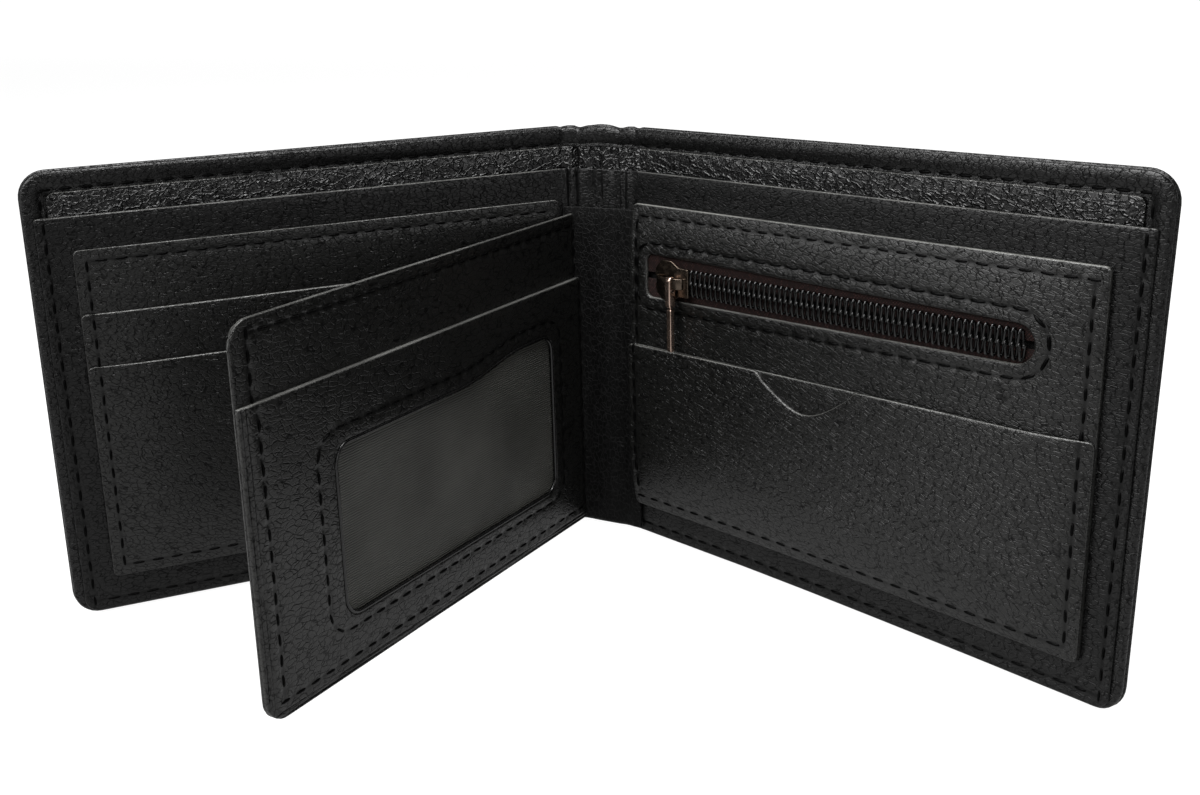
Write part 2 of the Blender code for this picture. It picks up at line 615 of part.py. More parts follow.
COVER_LEATHER = stuff("cover_leather", (0.018, 0.018, 0.019), 0.42)
POCKET_LEATHER = stuff("pocket_leather", (0.02, 0.02, 0.021), 0.45)
LINING_LEATHER = stuff("lining_leather", (0.022, 0.022, 0.023), 0.38)
POCKET_CLOTH = stuff("pocket_cloth", (0.012, 0.012, 0.012), 0.9)
TAPE_CLOTH = stuff("woven_tape", (0.035, 0.022, 0.018), 0.85)
COIL_NYLON = stuff("coil_nylon", (0.015, 0.015, 0.015), 0.25)
SLIDER_METAL = stuff("bronzed_metal", (0.3, 0.22, 0.18), 0.3, 1)
CLEAR_FILM = stuff("clear_film", (0.06, 0.06, 0.055), 0.2)

middle_x, middle_y = plan_centre()
wallet = Plane("wallet", None, (-middle_x, -middle_y, 0), 0, -1)
spine = Plane("spine", wallet.empty, (0, 0, 0), 0, -1)
left = Plane("left_crease", wallet.empty, (-SPINE_WIDTH / 2, 0, 0), math.pi + LEFT_BEND, 1)
right = Plane("right_crease", wallet.empty, (SPINE_WIDTH / 2, 0, 0), -RIGHT_BEND, -1)
wing = Plane("wing_hinge", left.empty, (WING_HINGE_U, WING_MIDDLE, 0), WING_LIFT, 1)
slider = Plane("zip_slide", right.empty, (SLIDER_U, 0, ZIP_MIDDLE), 0, -1)
pull = Plane("pull_swing", slider.empty, (SLIDER_LENGTH / 2, -BRIDGE_LEVEL, 0), 0, -1)

make_spine()
make_left_half()
make_wing()
make_right_half()
make_slider()
make_pull()

bpy.context.view_layer.update()
for joint in (left, right, wing, slider, pull):
    place = joint.empty.matrix_world.translation
    outwards = joint.empty.matrix_world.to_3x3() @ AXIS_U
    print(joint.empty.name, "at", [round(c, 6) for c in place], "u", [round(c, 6) for c in outwards])
for joint, u, w, v in ((left, COVER_WIDTH / 2, COVER_BACK, COVER_HEIGHT / 2),
                       (right, COVER_WIDTH / 2, COVER_BACK, COVER_HEIGHT / 2),
                       (left, COVER_WIDTH / 2, COVER_FACE, 0), (right, COVER_WIDTH / 2, COVER_FACE, 0)):
    place = joint.empty.matrix_world @ Vector((u, joint.side * w, v))
    print("mount on", joint.empty.name, [round(c, 6) for c in place])
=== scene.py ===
"""The looks of a folding leather wallet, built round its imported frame.

Every flat piece is modelled on its plane, with u outwards from the crease, v up and w towards the
inside of the fold, as in the part's source, and is then laid in place. Lengths are in metres.
"""

import json
import math

import bpy
import numpy as np
from mathutils import Matrix, Vector


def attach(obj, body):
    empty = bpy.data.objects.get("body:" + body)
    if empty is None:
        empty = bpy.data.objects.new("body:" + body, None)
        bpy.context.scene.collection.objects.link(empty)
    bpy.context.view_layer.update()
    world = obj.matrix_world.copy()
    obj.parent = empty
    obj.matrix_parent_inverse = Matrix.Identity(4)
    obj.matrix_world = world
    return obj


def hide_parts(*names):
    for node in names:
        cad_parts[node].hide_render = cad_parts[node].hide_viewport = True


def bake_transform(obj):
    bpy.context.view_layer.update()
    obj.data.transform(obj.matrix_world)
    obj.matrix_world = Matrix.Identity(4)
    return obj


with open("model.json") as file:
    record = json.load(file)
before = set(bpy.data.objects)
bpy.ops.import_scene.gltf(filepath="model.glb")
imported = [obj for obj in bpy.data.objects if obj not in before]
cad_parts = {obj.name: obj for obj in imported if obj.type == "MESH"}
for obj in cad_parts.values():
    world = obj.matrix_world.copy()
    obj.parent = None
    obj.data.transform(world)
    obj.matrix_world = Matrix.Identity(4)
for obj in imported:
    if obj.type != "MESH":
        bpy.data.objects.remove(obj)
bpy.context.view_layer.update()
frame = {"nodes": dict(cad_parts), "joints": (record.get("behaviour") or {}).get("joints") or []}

MM = 0.001

# The folds at rest, as in the part's source.
LEFT_BEND = math.radians(51)
RIGHT_BEND = math.radians(18)
WING_LIFT = math.radians(34.5)

# The photograph's camera, placed from the middle of the spine.
PHOTO_WIDTH = 1200
CAMERA_RIGHT = 133.45 * MM
CAMERA_BEHIND = 267.46 * MM
CAMERA_HEIGHT = 129.5 * MM
CAMERA_HEADING = math.radians(30.1)
CAMERA_DIP = math.radians(15.14)
CAMERA_ROLL = math.radians(-2.33)
CAMERA_LENS = 39.98
CAMERA_SENSOR = 36
PRINCIPAL_SHIFT_X = 75.4
PRINCIPAL_SHIFT_Y = -68.6

# Leather work, as measured from the photograph.
STITCH_PITCH = 4.0 * MM
THREAD_RADIUS = 0.3 * MM
THREAD_SINK = 0.02 * MM
THREAD_GAP = 1.2 * MM
SEAM_REACH = 1.5 * MM
SEAM_CUTS = 4
SWELL = 0.1 * MM
WAVE = 0.07 * MM
# How wide the painted highlight along a turned edge is.
EDGE_HIGHLIGHT_WIDTH = 0.12 * MM
GRID = 2.4 * MM
ARC_STEPS = 8
CUT_THRESHOLD = 1e-7

# How wide the band beside a seam is in which the leather is darkened with painted shade, its grain
# faded and its shine dulled, and where the leather swells beside it. Then how the seam pulls the
# leather down, in mm: how deep, how far to its sides, and how far along it from each needle hole.
SEWN_WIDTH = 0.8 * MM
SWELL_AT = 1.7 * MM
SWELL_WIDTH = 0.9 * MM
SEAM_PULLS = ((0.09, 0.42, math.inf), (0.22, 0.5, 0.55), (0.03, 1.3, 0.7))

# Where the leather of a half is joined to that of its crease, from the crease.
JOIN = 3.3 * MM


def plane_at(place, turn, side):
    """The matrix from a plane's u, v and w to the row frame."""
    out = Vector((math.cos(turn), math.sin(turn), 0))
    inside = Vector((-math.sin(turn), math.cos(turn), 0)) * side
    matrix = Matrix((out, Vector((0, 0, 1)), inside)).transposed().to_4x4()
    matrix.translation = (place[0], place[1], 0)
    return matrix


joint_places = {joint["name"]: joint["pos_m"] for joint in frame["joints"] if "pos_m" in joint}
left_crease = joint_places["left_fold"]
right_crease = joint_places["right_fold"]
spine_middle = ((left_crease[0] + right_crease[0]) / 2, (left_crease[1] + right_crease[1]) / 2, 0)
SPINE_HALF = (right_crease[0] - left_crease[0]) / 2

SPINE = plane_at(spine_middle, 0, -1)
LEFT = plane_at(left_crease, math.pi + LEFT_BEND, 1)
RIGHT = plane_at(right_crease, -RIGHT_BEND, -1)
WING = plane_at(joint_places["wing_hinge"], math.pi + LEFT_BEND + WING_LIFT, 1)


SIDES = {"left": (LEFT, LEFT_BEND, -1, "left_half"), "right": (RIGHT, RIGHT_BEND, 1, "right_half")}


def rows_of(items, name="co"):
    """One vector of each item of a mesh, as rows of an array."""
    flat = np.empty(len(items) * 3)
    items.foreach_get(name, flat)
    return flat.reshape(-1, 3)


def reach(node, plane):
    """A solid's lowest and highest u, v and w on a plane."""
    back = np.array(plane.inverted())
    corners = rows_of(frame["nodes"][node].data.vertices) @ back[:3, :3].T + back[:3, 3]
    return corners.min(0), corners.max(0)


# Materials.

def linear(hex_colour):
    """An sRGB hex colour as linear red, green, blue and alpha."""
    channels = [int(hex_colour[i:i + 2], 16) / 255 for i in (1, 3, 5)]
    return (*[c / 12.92 if c <= 0.04045 else ((c + 0.055) / 1.055) ** 2.4 for c in channels], 1)


def fill(tree, node, sockets):
    """Give a node's sockets their values and links."""
    for name, value in sockets.items():
        if isinstance(value, bpy.types.NodeSocket):
            tree.links.new(value, node.inputs[name])
        else:
            node.inputs[name].default_value = value


def add(tree, kind, sockets=None, **settings):
    """Add one shader node with its settings, values and links."""
    node = tree.nodes.new("ShaderNode" + kind)
    for name, value in settings.items():
        setattr(node, name, value)
    fill(tree, node, sockets or {})
    return node


def blank_material(name):
    """A material with only its output and Principled shader."""
    made = bpy.data.materials.new(name)
    made.use_nodes = True
    return made, made.node_tree, made.node_tree.nodes["Principled BSDF"]


def ramp(tree, value, low, high, to_low=0.0, to_high=1.0):
    """Map a value smoothly from one range to another."""
    return add(tree, "MapRange", {"Value": value, "From Min": low, "From Max": high, "To Min": to_low,
                                  "To Max": to_high}, interpolation_type="SMOOTHSTEP").outputs["Result"]


def noise(tree, place, scale, detail, output="Fac"):
    """Noise of a scale per unit of its place."""
    return add(tree, "TexNoise", {"Vector": place, "Scale": scale, "Detail": detail}).outputs[output]


def calc(tree, operation, *values, kind="Math", **settings):
    """One step of arithmetic on numbers, vectors and sockets."""
    return add(tree, kind, dict(enumerate(values)), operation=operation, **settings).outputs[0]


def mix(tree, share, *colours):
    """A blend of two colours, each a hex colour or a socket."""
    first, second = [linear(colour) if isinstance(colour, str) else colour for colour in colours]
    return add(tree, "MixRGB", {"Fac": share, "Color1": first, "Color2": second}).outputs[0]


def bump(tree, height, distance, **more):
    """A normal bent by a height, which is worth a distance."""
    return add(tree, "Bump", {"Height": height, "Strength": 1.0, "Distance": distance, **more}).outputs[0]


def marked(name, marks, detail=2.0):
    """A material whose faint marks, so many in each mm, are noise over the object."""
    made, tree, shader = blank_material(name)
    return made, tree, shader, noise(tree, add(tree, "TexCoord").outputs["Object"], marks / MM, detail)


SEWN = "sewn"
EDGE_HIGHLIGHT_MASK = "turned"
# The thread's black, which also darkens the leather beside a seam as painted shade.
THREAD_BLACK_AND_SEAM_SHADE = "#020202"
# The light grey of the painted highlight along turned edges.
EDGE_HIGHLIGHT_GREY = "#72726f"

# The leather's noises, each a scale per mm and a detail.
NET_BEND = (0.7, 1.0)
PATCHES = (0.75, 1.5)
PORES = (3.0, 3.0)
WAVES = (0.11, 2.0)

# For raised grain and for valleys: how far noise bends the net, and how wide its broad lines are.
BEND_REACH = {True: 1.5, False: 0.9}
BROAD_LINE = {True: 0.1, False: 0.13}
FINE_LINE = 0.16
FINE_NET = 0.5
FINE_WEIGHT = 0.3
PORE_WEIGHT = 0.1
CREASE_DULLING = 0.55
ROUGHNESS_SPREAD = 0.02

# Ranges from and to: the net's strength over the patches, how it fades towards a seam, how dark the
# painted shade beside a seam is and how dull a seam is, how the painted highlight along the turned
# edges comes and goes, and the middle of any noise.
PATCH_STRENGTH = (0.4, 0.6, 0.6, 1.0)
NET_AT_SEAM = (0.35, 1.0, 1.0, 0.15)
SEAM_PAINTED_SHADE = (0.5, 1.0, 0.0, 0.7)
SEAM_DULLNESS = (0.6, 1.0, 0.0, 0.6)
EDGE_HIGHLIGHT_BREAKS = (0.35, 0.62, 0.55, 1.0)
MIDDLE = (0.3, 0.7)

# The scale at which a wave texture has one band in each unit of length.
WAVE_BANDS = 0.314
RIB_PITCH = 0.5


def edge_lines(tree, place, size, width):
    """Fine lines between cells of a size in mm: 1 on the line and 0 beside it."""
    gap = add(tree, "TexVoronoi", {"Vector": place, "Scale": 1 / size},
              feature="DISTANCE_TO_EDGE").outputs["Distance"]
    return ramp(tree, gap, 0.0, width, 1.0, 0.0)


def leather(name, dark, light, grain, depth, swell, roughness, gloss, raised=True, stretch=(1, 1, 0.8),
            lean=0.0):
    """Chrome-tanned black leather with a creased grain and a semi-gloss finish.

    Two nets of fine creases, stretched, leant and bent by noise, run over a slow swell. On raised
    grain their lines stand up and are light; otherwise they are dark, dull valleys whose sides catch
    the light. grain is in mm. Beside a seam the leather is darkened with painted shade, and turned
    edges carry a light grey painted highlight, strongest where they face up.
    """
    made, tree, shader = blank_material(name)
    in_mm = add(tree, "Mapping", {"Vector": add(tree, "TexCoord").outputs["Object"],
                                  "Rotation": (0, lean, 0), "Scale": [MM / share for share in stretch]},
                vector_type="TEXTURE").outputs[0]
    bend = calc(tree, "SUBTRACT", noise(tree, in_mm, *NET_BEND, "Color"), (0.5, 0.5, 0.5),
                kind="VectorMath")
    bend = add(tree, "VectorMath", {0: bend, "Scale": BEND_REACH[raised]}, operation="SCALE").outputs[0]
    warped = calc(tree, "ADD", in_mm, bend, kind="VectorMath")
    broad = edge_lines(tree, warped, grain, BROAD_LINE[raised])
    fine = edge_lines(tree, warped, FINE_NET * grain, FINE_LINE)
    near_seam = add(tree, "Attribute", attribute_name=SEWN).outputs["Fac"]
    uneven = calc(tree, "MULTIPLY", calc(tree, "MULTIPLY_ADD", fine, FINE_WEIGHT, broad),
                  ramp(tree, noise(tree, in_mm, *PATCHES), *PATCH_STRENGTH))
    creases = calc(tree, "MULTIPLY", uneven, ramp(tree, near_seam, *NET_AT_SEAM))
    pores = noise(tree, in_mm, *PORES)
    waves = noise(tree, in_mm, *WAVES)
    height = calc(tree, "MULTIPLY_ADD", pores, PORE_WEIGHT,
                  calc(tree, "MULTIPLY", creases, 1.0 if raised else -1.0))
    tone = mix(tree, creases, dark, light) if raised else mix(tree, creases, light, dark)
    # Painted shade: beside a seam the leather is darkened towards black.
    tone = mix(tree, ramp(tree, near_seam, *SEAM_PAINTED_SHADE), tone, THREAD_BLACK_AND_SEAM_SHADE)
    # Painted highlight: turned edges are lightened to grey, broken up along their length by noise.
    edge_highlight = calc(tree, "MULTIPLY", add(tree, "Attribute", attribute_name=EDGE_HIGHLIGHT_MASK).outputs["Fac"],
                ramp(tree, waves, *EDGE_HIGHLIGHT_BREAKS))
    fill(tree, shader, {"Base Color": mix(tree, edge_highlight, tone, EDGE_HIGHLIGHT_GREY),
                        "Roughness": ramp(tree, pores, *MIDDLE, roughness - ROUGHNESS_SPREAD,
                                          roughness + ROUGHNESS_SPREAD),
                        "Normal": bump(tree, height, depth, Normal=bump(tree, waves, swell)),
                        "Specular IOR Level": gloss})
    if not raised:
        pits = calc(tree, "MAXIMUM", creases, ramp(tree, near_seam, *SEAM_DULLNESS))
        shine = calc(tree, "MULTIPLY_ADD", pits, -CREASE_DULLING * gloss, gloss, use_clamp=True)
        fill(tree, shader, {"Specular IOR Level": shine})
    return made


def thread_material():
    """Waxed black polyester thread: fine twist, hardly any shine."""
    made, tree, shader, twist = marked("waxed_thread", 2.5)
    fill(tree, shader, {"Base Color": linear(THREAD_BLACK_AND_SEAM_SHADE), "Roughness": 0.45, "Specular IOR Level": 0.05,
                        "Normal": bump(tree, twist, 0.05 * MM)})
    return made


def glossy(name, colour, marks, smooth, rough, **more):
    """A black glossy finish that brush or draw marks make uneven."""
    made, tree, shader, spread = marked(name, marks)
    fill(tree, shader, {"Base Color": linear(colour), **more,
                        "Roughness": ramp(tree, spread, *MIDDLE, smooth, rough)})
    return made


def zinc(name, dark, light, marks, smooth, rough):
    """Die-cast and plated zinc, polished, its tone and roughness uneven in faint clouds."""
    made, tree, shader, cloud = marked(name, marks, 4.0)
    fill(tree, shader, {"Base Color": mix(tree, cloud, dark, light), "Metallic": 1.0,
                        "Roughness": ramp(tree, cloud, *MIDDLE, smooth, rough)})
    return made


def woven_material(name, dark, light, pitch):
    """Woven polyester: warp and weft a pitch in mm apart, each yarn a rounded ridge, hardly shining."""
    made, tree, shader = blank_material(name)
    flat = add(tree, "UVMap", uv_map="flat").outputs["UV"]
    turned = add(tree, "Mapping", {"Vector": flat, "Rotation": (0, 0, math.radians(38))}).outputs[0]
    yarn = {"Vector": turned, "Scale": WAVE_BANDS / pitch, "Distortion": 1.2}
    warp = add(tree, "TexWave", {**yarn, "Detail": 1.0, "Detail Scale": 2.0}).outputs["Fac"]
    weft = add(tree, "TexWave", yarn, bands_direction="Y").outputs["Fac"]
    cloth = calc(tree, "MULTIPLY", calc(tree, "MULTIPLY", warp, weft),
                 ramp(tree, noise(tree, flat, 1.1, 2.0), 0.42, 0.62, 0.1, 1.0))
    height = calc(tree, "MULTIPLY_ADD", noise(tree, flat, 3.0, 3.0), 0.25, cloth)
    fill(tree, shader, {"Base Color": mix(tree, height, dark, light), "Roughness": 0.8,
                        "Specular IOR Level": 0.2, "Sheen Weight": 0.03,
                        "Normal": bump(tree, height, 0.12 * MM)})
    return made


def film_material():
    """Smoked PVC window film, embossed with fine level ribs that dull its shine."""
    made, tree, shader = blank_material("ribbed_window_film")
    flat = add(tree, "UVMap", uv_map="flat").outputs["UV"]
    ribs = add(tree, "TexWave", {"Vector": flat, "Scale": WAVE_BANDS / RIB_PITCH, "Distortion": 1.6,
                                 "Detail": 1.0, "Detail Scale": 0.6},
               bands_direction="Y").outputs["Fac"]
    mixed = calc(tree, "MULTIPLY_ADD", ribs, 0.7, noise(tree, flat, 0.05, 3.0))
    fill(tree, shader, {"Base Color": mix(tree, ramp(tree, mixed, 0.4, 1.2), "#1a1a18", "#50504c"),
                        "Roughness": 0.5, "Specular IOR Level": 0.4, "Normal": bump(tree, ribs, 0.08 * MM)})
    return made


SMOOTH_GRAIN = {"raised": False, "stretch": (0.62, 0.8, 1.3)}
COVER_LEATHER = leather("creased_cover_leather", "#050505", "#141414", 1.05, 0.055 * MM, 0.1 * MM, 0.28,
                        0.34, raised=False, stretch=(0.8, 0.8, 1.2))
POCKET_LEATHER = leather("creased_pocket_leather", "#050505", "#141413", 1.0, 0.055 * MM, 0.12 * MM, 0.3,
                         0.5, lean=math.radians(18), **SMOOTH_GRAIN)
WING_LEATHER = leather("creased_wing_leather", "#050505", "#181817", 1.05, 0.055 * MM, 0.12 * MM, 0.3,
                       0.54, raised=False, stretch=(1, 0.6, 1))
DIVIDER_LEATHER = leather("creased_divider_leather", "#040404", "#0e0e0e", 1.0, 0.055 * MM, 0.1 * MM, 0.3,
                          0.3, **SMOOTH_GRAIN)
GUSSET_LEATHER = leather("matt_gusset_leather", "#020202", "#1c1c1c", 1.1, 0.09 * MM, 0.2 * MM, 0.6, 0.12)
LINING_LEATHER = leather("shrunken_lining_leather", "#020202", "#1d1d1d", 2.1, 0.3 * MM, 0.5 * MM, 0.24,
                         0.5, stretch=(0.75, 0.75, 1.1))
EDGE_PAINT = glossy("burnished_edge_paint", "#0a0a0a", 1.5, 0.16, 0.3)
THREAD = thread_material()
TAPE_CLOTH = woven_material("woven_zip_tape", "#060303", "#3a201c", 0.5)
BAG_CLOTH = woven_material("woven_pocket_lining", "#050505", "#141414", 0.4)
NYLON = glossy("nylon_coil", "#060606", 1.2, 0.1, 0.2, IOR=1.53)
METAL = zinc("bronze_plated_zinc", "#b99d8e", "#dcc3b4", 0.5, 0.18, 0.3)
# A darker copy of the bronze-plated zinc, for the slider's casting and bail: painted shade.
PAINTED_SHADE_METAL = zinc("painted_shade_bronze_zinc", "#4d443c", "#776a5e", 0.6, 0.2, 0.34)
FILM = film_material()


# Small steps of modelling that the pieces share.

def mode(name):
    """Go to a mode, unless the piece in hand is in it."""
    if bpy.context.object and bpy.context.object.mode != name:
        bpy.ops.object.mode_set(mode=name)


def alone(piece):
    """Make a piece the only selected one."""
    mode("OBJECT")
    bpy.ops.object.select_all(action="DESELECT")
    piece.select_set(True)
    bpy.context.view_layer.objects.active = piece


def blank(name, outline, level=0.0):
    """A flat blank: a disc primitive whose rim is drawn out to an outline in u and v."""
    mode("OBJECT")
    bpy.ops.object.select_all(action="DESELECT")
    bpy.ops.mesh.primitive_circle_add(vertices=len(outline), radius=1, fill_type="NGON")
    piece = bpy.context.object
    piece.name = name
    for vertex, (u, v) in zip(piece.data.vertices, outline):
        vertex.co = (u, v, level)
    return piece


def choose(piece, faces):
    """Select the faces of a list of true and false, in edit mode."""
    bpy.context.tool_settings.mesh_select_mode = (False, False, True)
    mesh = piece.data
    mesh.vertices.foreach_set("select", [False] * len(mesh.vertices))
    mesh.edges.foreach_set("select", [False] * len(mesh.edges))
    mesh.polygons.foreach_set("select", faces)
    mode("EDIT")


def pick(piece, wanted):
    """Select the faces that a test of centre and normal picks, in edit mode."""
    mode("OBJECT")
    choose(piece, [bool(wanted(face.center, face.normal)) for face in piece.data.polygons])


def thicken(rise):
    """Raise all of a flat blank by a height, in edit mode."""
    mode("EDIT")
    bpy.ops.mesh.select_all(action="SELECT")
    bpy.ops.mesh.extrude_region_move(TRANSFORM_OT_translate={"value": (0, 0, rise)})


def face_outwards():
    """Turn the faces of a closed piece outwards, in edit mode."""
    bpy.ops.mesh.select_all(action="SELECT")
    bpy.ops.mesh.normals_make_consistent(inside=False)
    mode("OBJECT")


def slab(name, outline, back, face):
    """An outline that is cut out between two levels."""
    piece = blank(name, outline, back)
    thicken(face - back)
    face_outwards()
    return piece


def apply(piece, kind, **settings):
    """Apply one modifier to a piece."""
    alone(piece)
    step = piece.modifiers.new("step", kind)
    for name, value in settings.items():
        setattr(step, name, value)
    bpy.ops.object.modifier_apply(modifier=step.name)


def cut(piece, tool):
    """Cut a tool's shape out of a piece and throw the tool away."""
    apply(piece, "BOOLEAN", operation="DIFFERENCE", solver="EXACT", object=tool)
    bpy.data.objects.remove(tool, do_unlink=True)


def slice_at(axis, place, **more):
    """Cut through all of a piece at a place on one axis, in edit mode."""
    point = [0, 0, 0]
    normal = [0, 0, 0]
    point[axis] = place
    normal[axis] = 1
    bpy.ops.mesh.select_all(action="SELECT")
    bpy.ops.mesh.bisect(plane_co=point, plane_no=normal, threshold=CUT_THRESHOLD, **more)


def slice_up(low, high, spacing):
    """Cut a piece in edit mode along evenly spaced lines of u and v."""
    for axis in (0, 1):
        count = max(int((high[axis] - low[axis]) / spacing), 1)
        for step in range(1, count):
            slice_at(axis, low[axis] + (high[axis] - low[axis]) * step / count)


def along(path):
    """A path's points, the lengths up to them, and its segments as arrays."""
    points = np.array(path, float)
    steps = np.diff(points, axis=0)
    lengths = np.hypot(steps[:, 0], steps[:, 1])
    return points, np.concatenate([[0], np.cumsum(lengths)]), steps, lengths


def near(path, spots):
    """How far each spot lies from a path, and how far along the path that is."""
    points, starts, steps, lengths = along(path)
    best = np.full(len(spots), np.inf)
    where = np.zeros(len(spots))
    for start, origin, step, length in zip(starts, points, steps, lengths):
        if length == 0:
            continue
        share = np.clip((spots - origin) @ step / length ** 2, 0, 1)
        gap = np.linalg.norm(spots - origin - share[:, None] * step, axis=1)
        closer = gap < best
        best[closer] = gap[closer]
        where[closer] = start + share[closer] * length
    return best, where


def even_pitch(path):
    """The stitch length that divides a path evenly."""
    total = along(path)[1][-1]
    return total / max(round(total / STITCH_PITCH), 1)


def ripple(u, v, seed=0.0):
    """A slow uneven swell of soft leather, between about -1 and 1."""
    return (math.sin(1) * np.sin(u * 71 + v * 37 + seed) + 0.5 * np.sin(u * 163 - v * 119 + 2.1 * seed)
            + 0.33 * np.sin(u * 251 + v * 307 + 3.7 * seed)) / 1.9


def sew_down(piece, seams, floor, wave, seed):
    """Pull the leather down along its seams, deepest at each needle hole, and let it swell between.

    floor is the level above which a point belongs to the face. The pucker beside each hole is what
    the photograph's short highlights along the seams come from.
    """
    mesh = piece.data
    place = rows_of(mesh.vertices)
    face = place[:, 2] > floor
    spots = place[face, :2]
    shift = wave * ripple(spots[:, 0], spots[:, 1], seed)
    sewn = np.zeros(len(place))
    for path in seams:
        gap, run = near(path, spots)
        sewn[face] = np.maximum(sewn[face], np.exp(-(gap / SEWN_WIDTH) ** 2))
        pitch = even_pitch(path)
        off = np.abs(run / pitch - np.round(run / pitch)) * pitch
        for depth, across, ahead in SEAM_PULLS:
            shift -= depth * MM * np.exp(-(gap / (across * MM)) ** 2 - (off / (ahead * MM)) ** 2)
        shift += 0.5 * SWELL * np.exp(-((gap - SWELL_AT) / SWELL_WIDTH) ** 2)
    place[face, 2] += shift
    mesh.vertices.foreach_set("co", place.ravel())
    mesh.attributes.new(SEWN, "FLOAT", "POINT").data.foreach_set("value", sewn)
    mesh.update()


def lay_flat_map(piece):
    """A UV map of the plane's own u and v in millimetres, for woven and ribbed stuffs."""
    mesh = piece.data
    layer = mesh.uv_layers.new(name="flat")
    corners = np.empty(len(mesh.loops), int)
    mesh.loops.foreach_get("vertex_index", corners)
    layer.data.foreach_set("uv", (rows_of(mesh.vertices)[corners, :2] / MM).ravel())


# The right half's foot is a little shorter than its top, the cover's more so than the pockets'. Its
# lower outer corner is also twisted, forwards and outwards.
FOOT_SHORTER = 1.0 * MM
COVER_FOOT_SHORTER = 2.4 * MM
FRAME_HEIGHT = 95 * MM
TWIST = 3.4 * MM
TWIST_START = 30 * MM
TWIST_TOP = 58 * MM
TWIST_OUTWARD = 0.46
BLOCK_WIDTH = 109 * MM
COVER_WIDTH = 118 * MM


def foot_drawn_in(u, v, w):
    """Draw the right half's foot in and twist its lower outer corner."""
    pocket = np.clip(u / BLOCK_WIDTH, 0, 1)
    beyond = np.clip((u - BLOCK_WIDTH) / (COVER_WIDTH - BLOCK_WIDTH), 0, 1.2)
    drawn = FOOT_SHORTER * pocket + (COVER_FOOT_SHORTER - FOOT_SHORTER) * beyond
    twist = TWIST * np.clip((u - TWIST_START) / (COVER_WIDTH - TWIST_START), 0, 1) ** 1.5
    twist = twist * np.clip(1 - v / TWIST_TOP, 0, 1) ** 1.2
    u = u - drawn * np.clip(1 - v / FRAME_HEIGHT, 0, 1) + TWIST_OUTWARD * twist
    return u, v, w + twist


def finish(piece, plane, material, body, nodes=(), smooth=35):
    """Lay a finished piece on its plane, shade it, give it its stuff and hang it on its body."""
    mode("OBJECT")
    if plane is RIGHT:
        remap(piece, foot_drawn_in)
    if plane is not None:
        piece.data.transform(plane)
        if plane.determinant() < 0:
            piece.data.flip_normals()
    alone(piece)
    piece.data.materials.clear()
    piece.data.materials.append(material)
    bpy.ops.object.shade_smooth_by_angle(angle=math.radians(smooth))
    piece.data.update()
    if isinstance(body, str):
        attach(piece, body)
    else:
        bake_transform(piece)
    if nodes:
        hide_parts(*nodes)
    return piece


def arc(centre, radius, start, end, steps=ARC_STEPS):
    """Points along an arc, with its angles in degrees."""
    angles = [math.radians(start + (end - start) * step / steps) for step in range(steps + 1)]
    return [(centre[0] + radius * math.cos(a), centre[1] + radius * math.sin(a)) for a in angles]


def rounded(u0, u1, v0, v1, near_corner, far_corner, far_top=None):
    """A rectangle with its near and far corners rounded."""
    top = far_corner if far_top is None else far_top
    points = []
    for u, v, radius, inward_u, inward_v, start in ((u0, v0, near_corner, 1, 1, 180),
                                                    (u1, v0, far_corner, -1, 1, 270),
                                                    (u1, v1, top, -1, -1, 0),
                                                    (u0, v1, near_corner, 1, -1, 90)):
        points += arc((u + inward_u * radius, v + inward_v * radius), radius, start, start + 90)
    return points


PRESS_REACH = 15 * MM
PRESS_LEFT = 0.42


def pressing(low, high, base):
    """A rule for remap: a block's edges are pressed flat on the leather below by their seam."""
    def change(u, v, w):
        kept = 1.0
        for inside in (high[0] - u, high[1] - v, v - low[1]):
            share = np.clip(inside / PRESS_REACH, 0, 1)
            kept = kept * share * (2 - share)
        return u, v, base + (w - base) * (PRESS_LEFT + (1 - PRESS_LEFT) * kept)
    return change


def remap(piece, change):
    """Move a piece's points by a rule of u, v and w."""
    place = rows_of(piece.data.vertices)
    piece.data.vertices.foreach_set("co", np.stack(change(*place.T), axis=1).ravel())
    piece.data.update()


# The turned edge of a leather layer: how far in and how far up each step of its quarter round goes.
QUARTER_ROUND = ((0.134, 0.5), (0.366, 0.366), (0.5, 0.134))


def leather_panel(name, outline, back, face, seams=(), opening=None, edge=0.2 * MM, spacing=GRID,
                  wave=WAVE, seed=0.0, part=None, sides=0.15, lines=()):
    """One leather layer: cut out, thickened, its edges turned, sewn down along its seams.

    part keeps only what lies beyond ("far") or before ("near") a cut across the layer. sides is how
    strong the painted highlight on its upright edges is, and lines are further cuts through its mesh,
    each an axis and a place.
    """
    piece = blank(name, outline, back)
    thicken(face - edge - back)
    if opening:
        cut(piece, slab("cutter", opening, back - 1 * MM, face + 1 * MM))
    pick(piece, lambda centre, normal: normal.z > 0.9)
    for inward, out in QUARTER_ROUND:
        bpy.ops.mesh.inset(thickness=inward * edge, depth=out * edge, use_even_offset=True)
    spots = np.array(outline)
    slice_up(spots.min(0), spots.max(0), spacing)
    for axis, place in lines:
        slice_at(axis, place)
    mode("OBJECT")
    if seams:
        faces = piece.data.polygons
        centres = rows_of(faces, "center")
        close = np.zeros(len(centres), bool)
        for path in seams:
            close |= near(path, centres[:, :2])[0] < SEAM_REACH
        choose(piece, (close & (rows_of(faces, "normal")[:, 2] > 0.5)).tolist())
        bpy.ops.mesh.subdivide(number_cuts=SEAM_CUTS)
        mode("OBJECT")
    mark_edges(piece, outline, opening, (back + face) / 2, sides)
    sew_down(piece, seams, (back + face) / 2, wave, seed)
    if part:
        alone(piece)
        mode("EDIT")
        slice_at(0, part[0], use_fill=True, clear_inner=part[1] == "far", clear_outer=part[1] == "near")
        mode("OBJECT")
    return piece


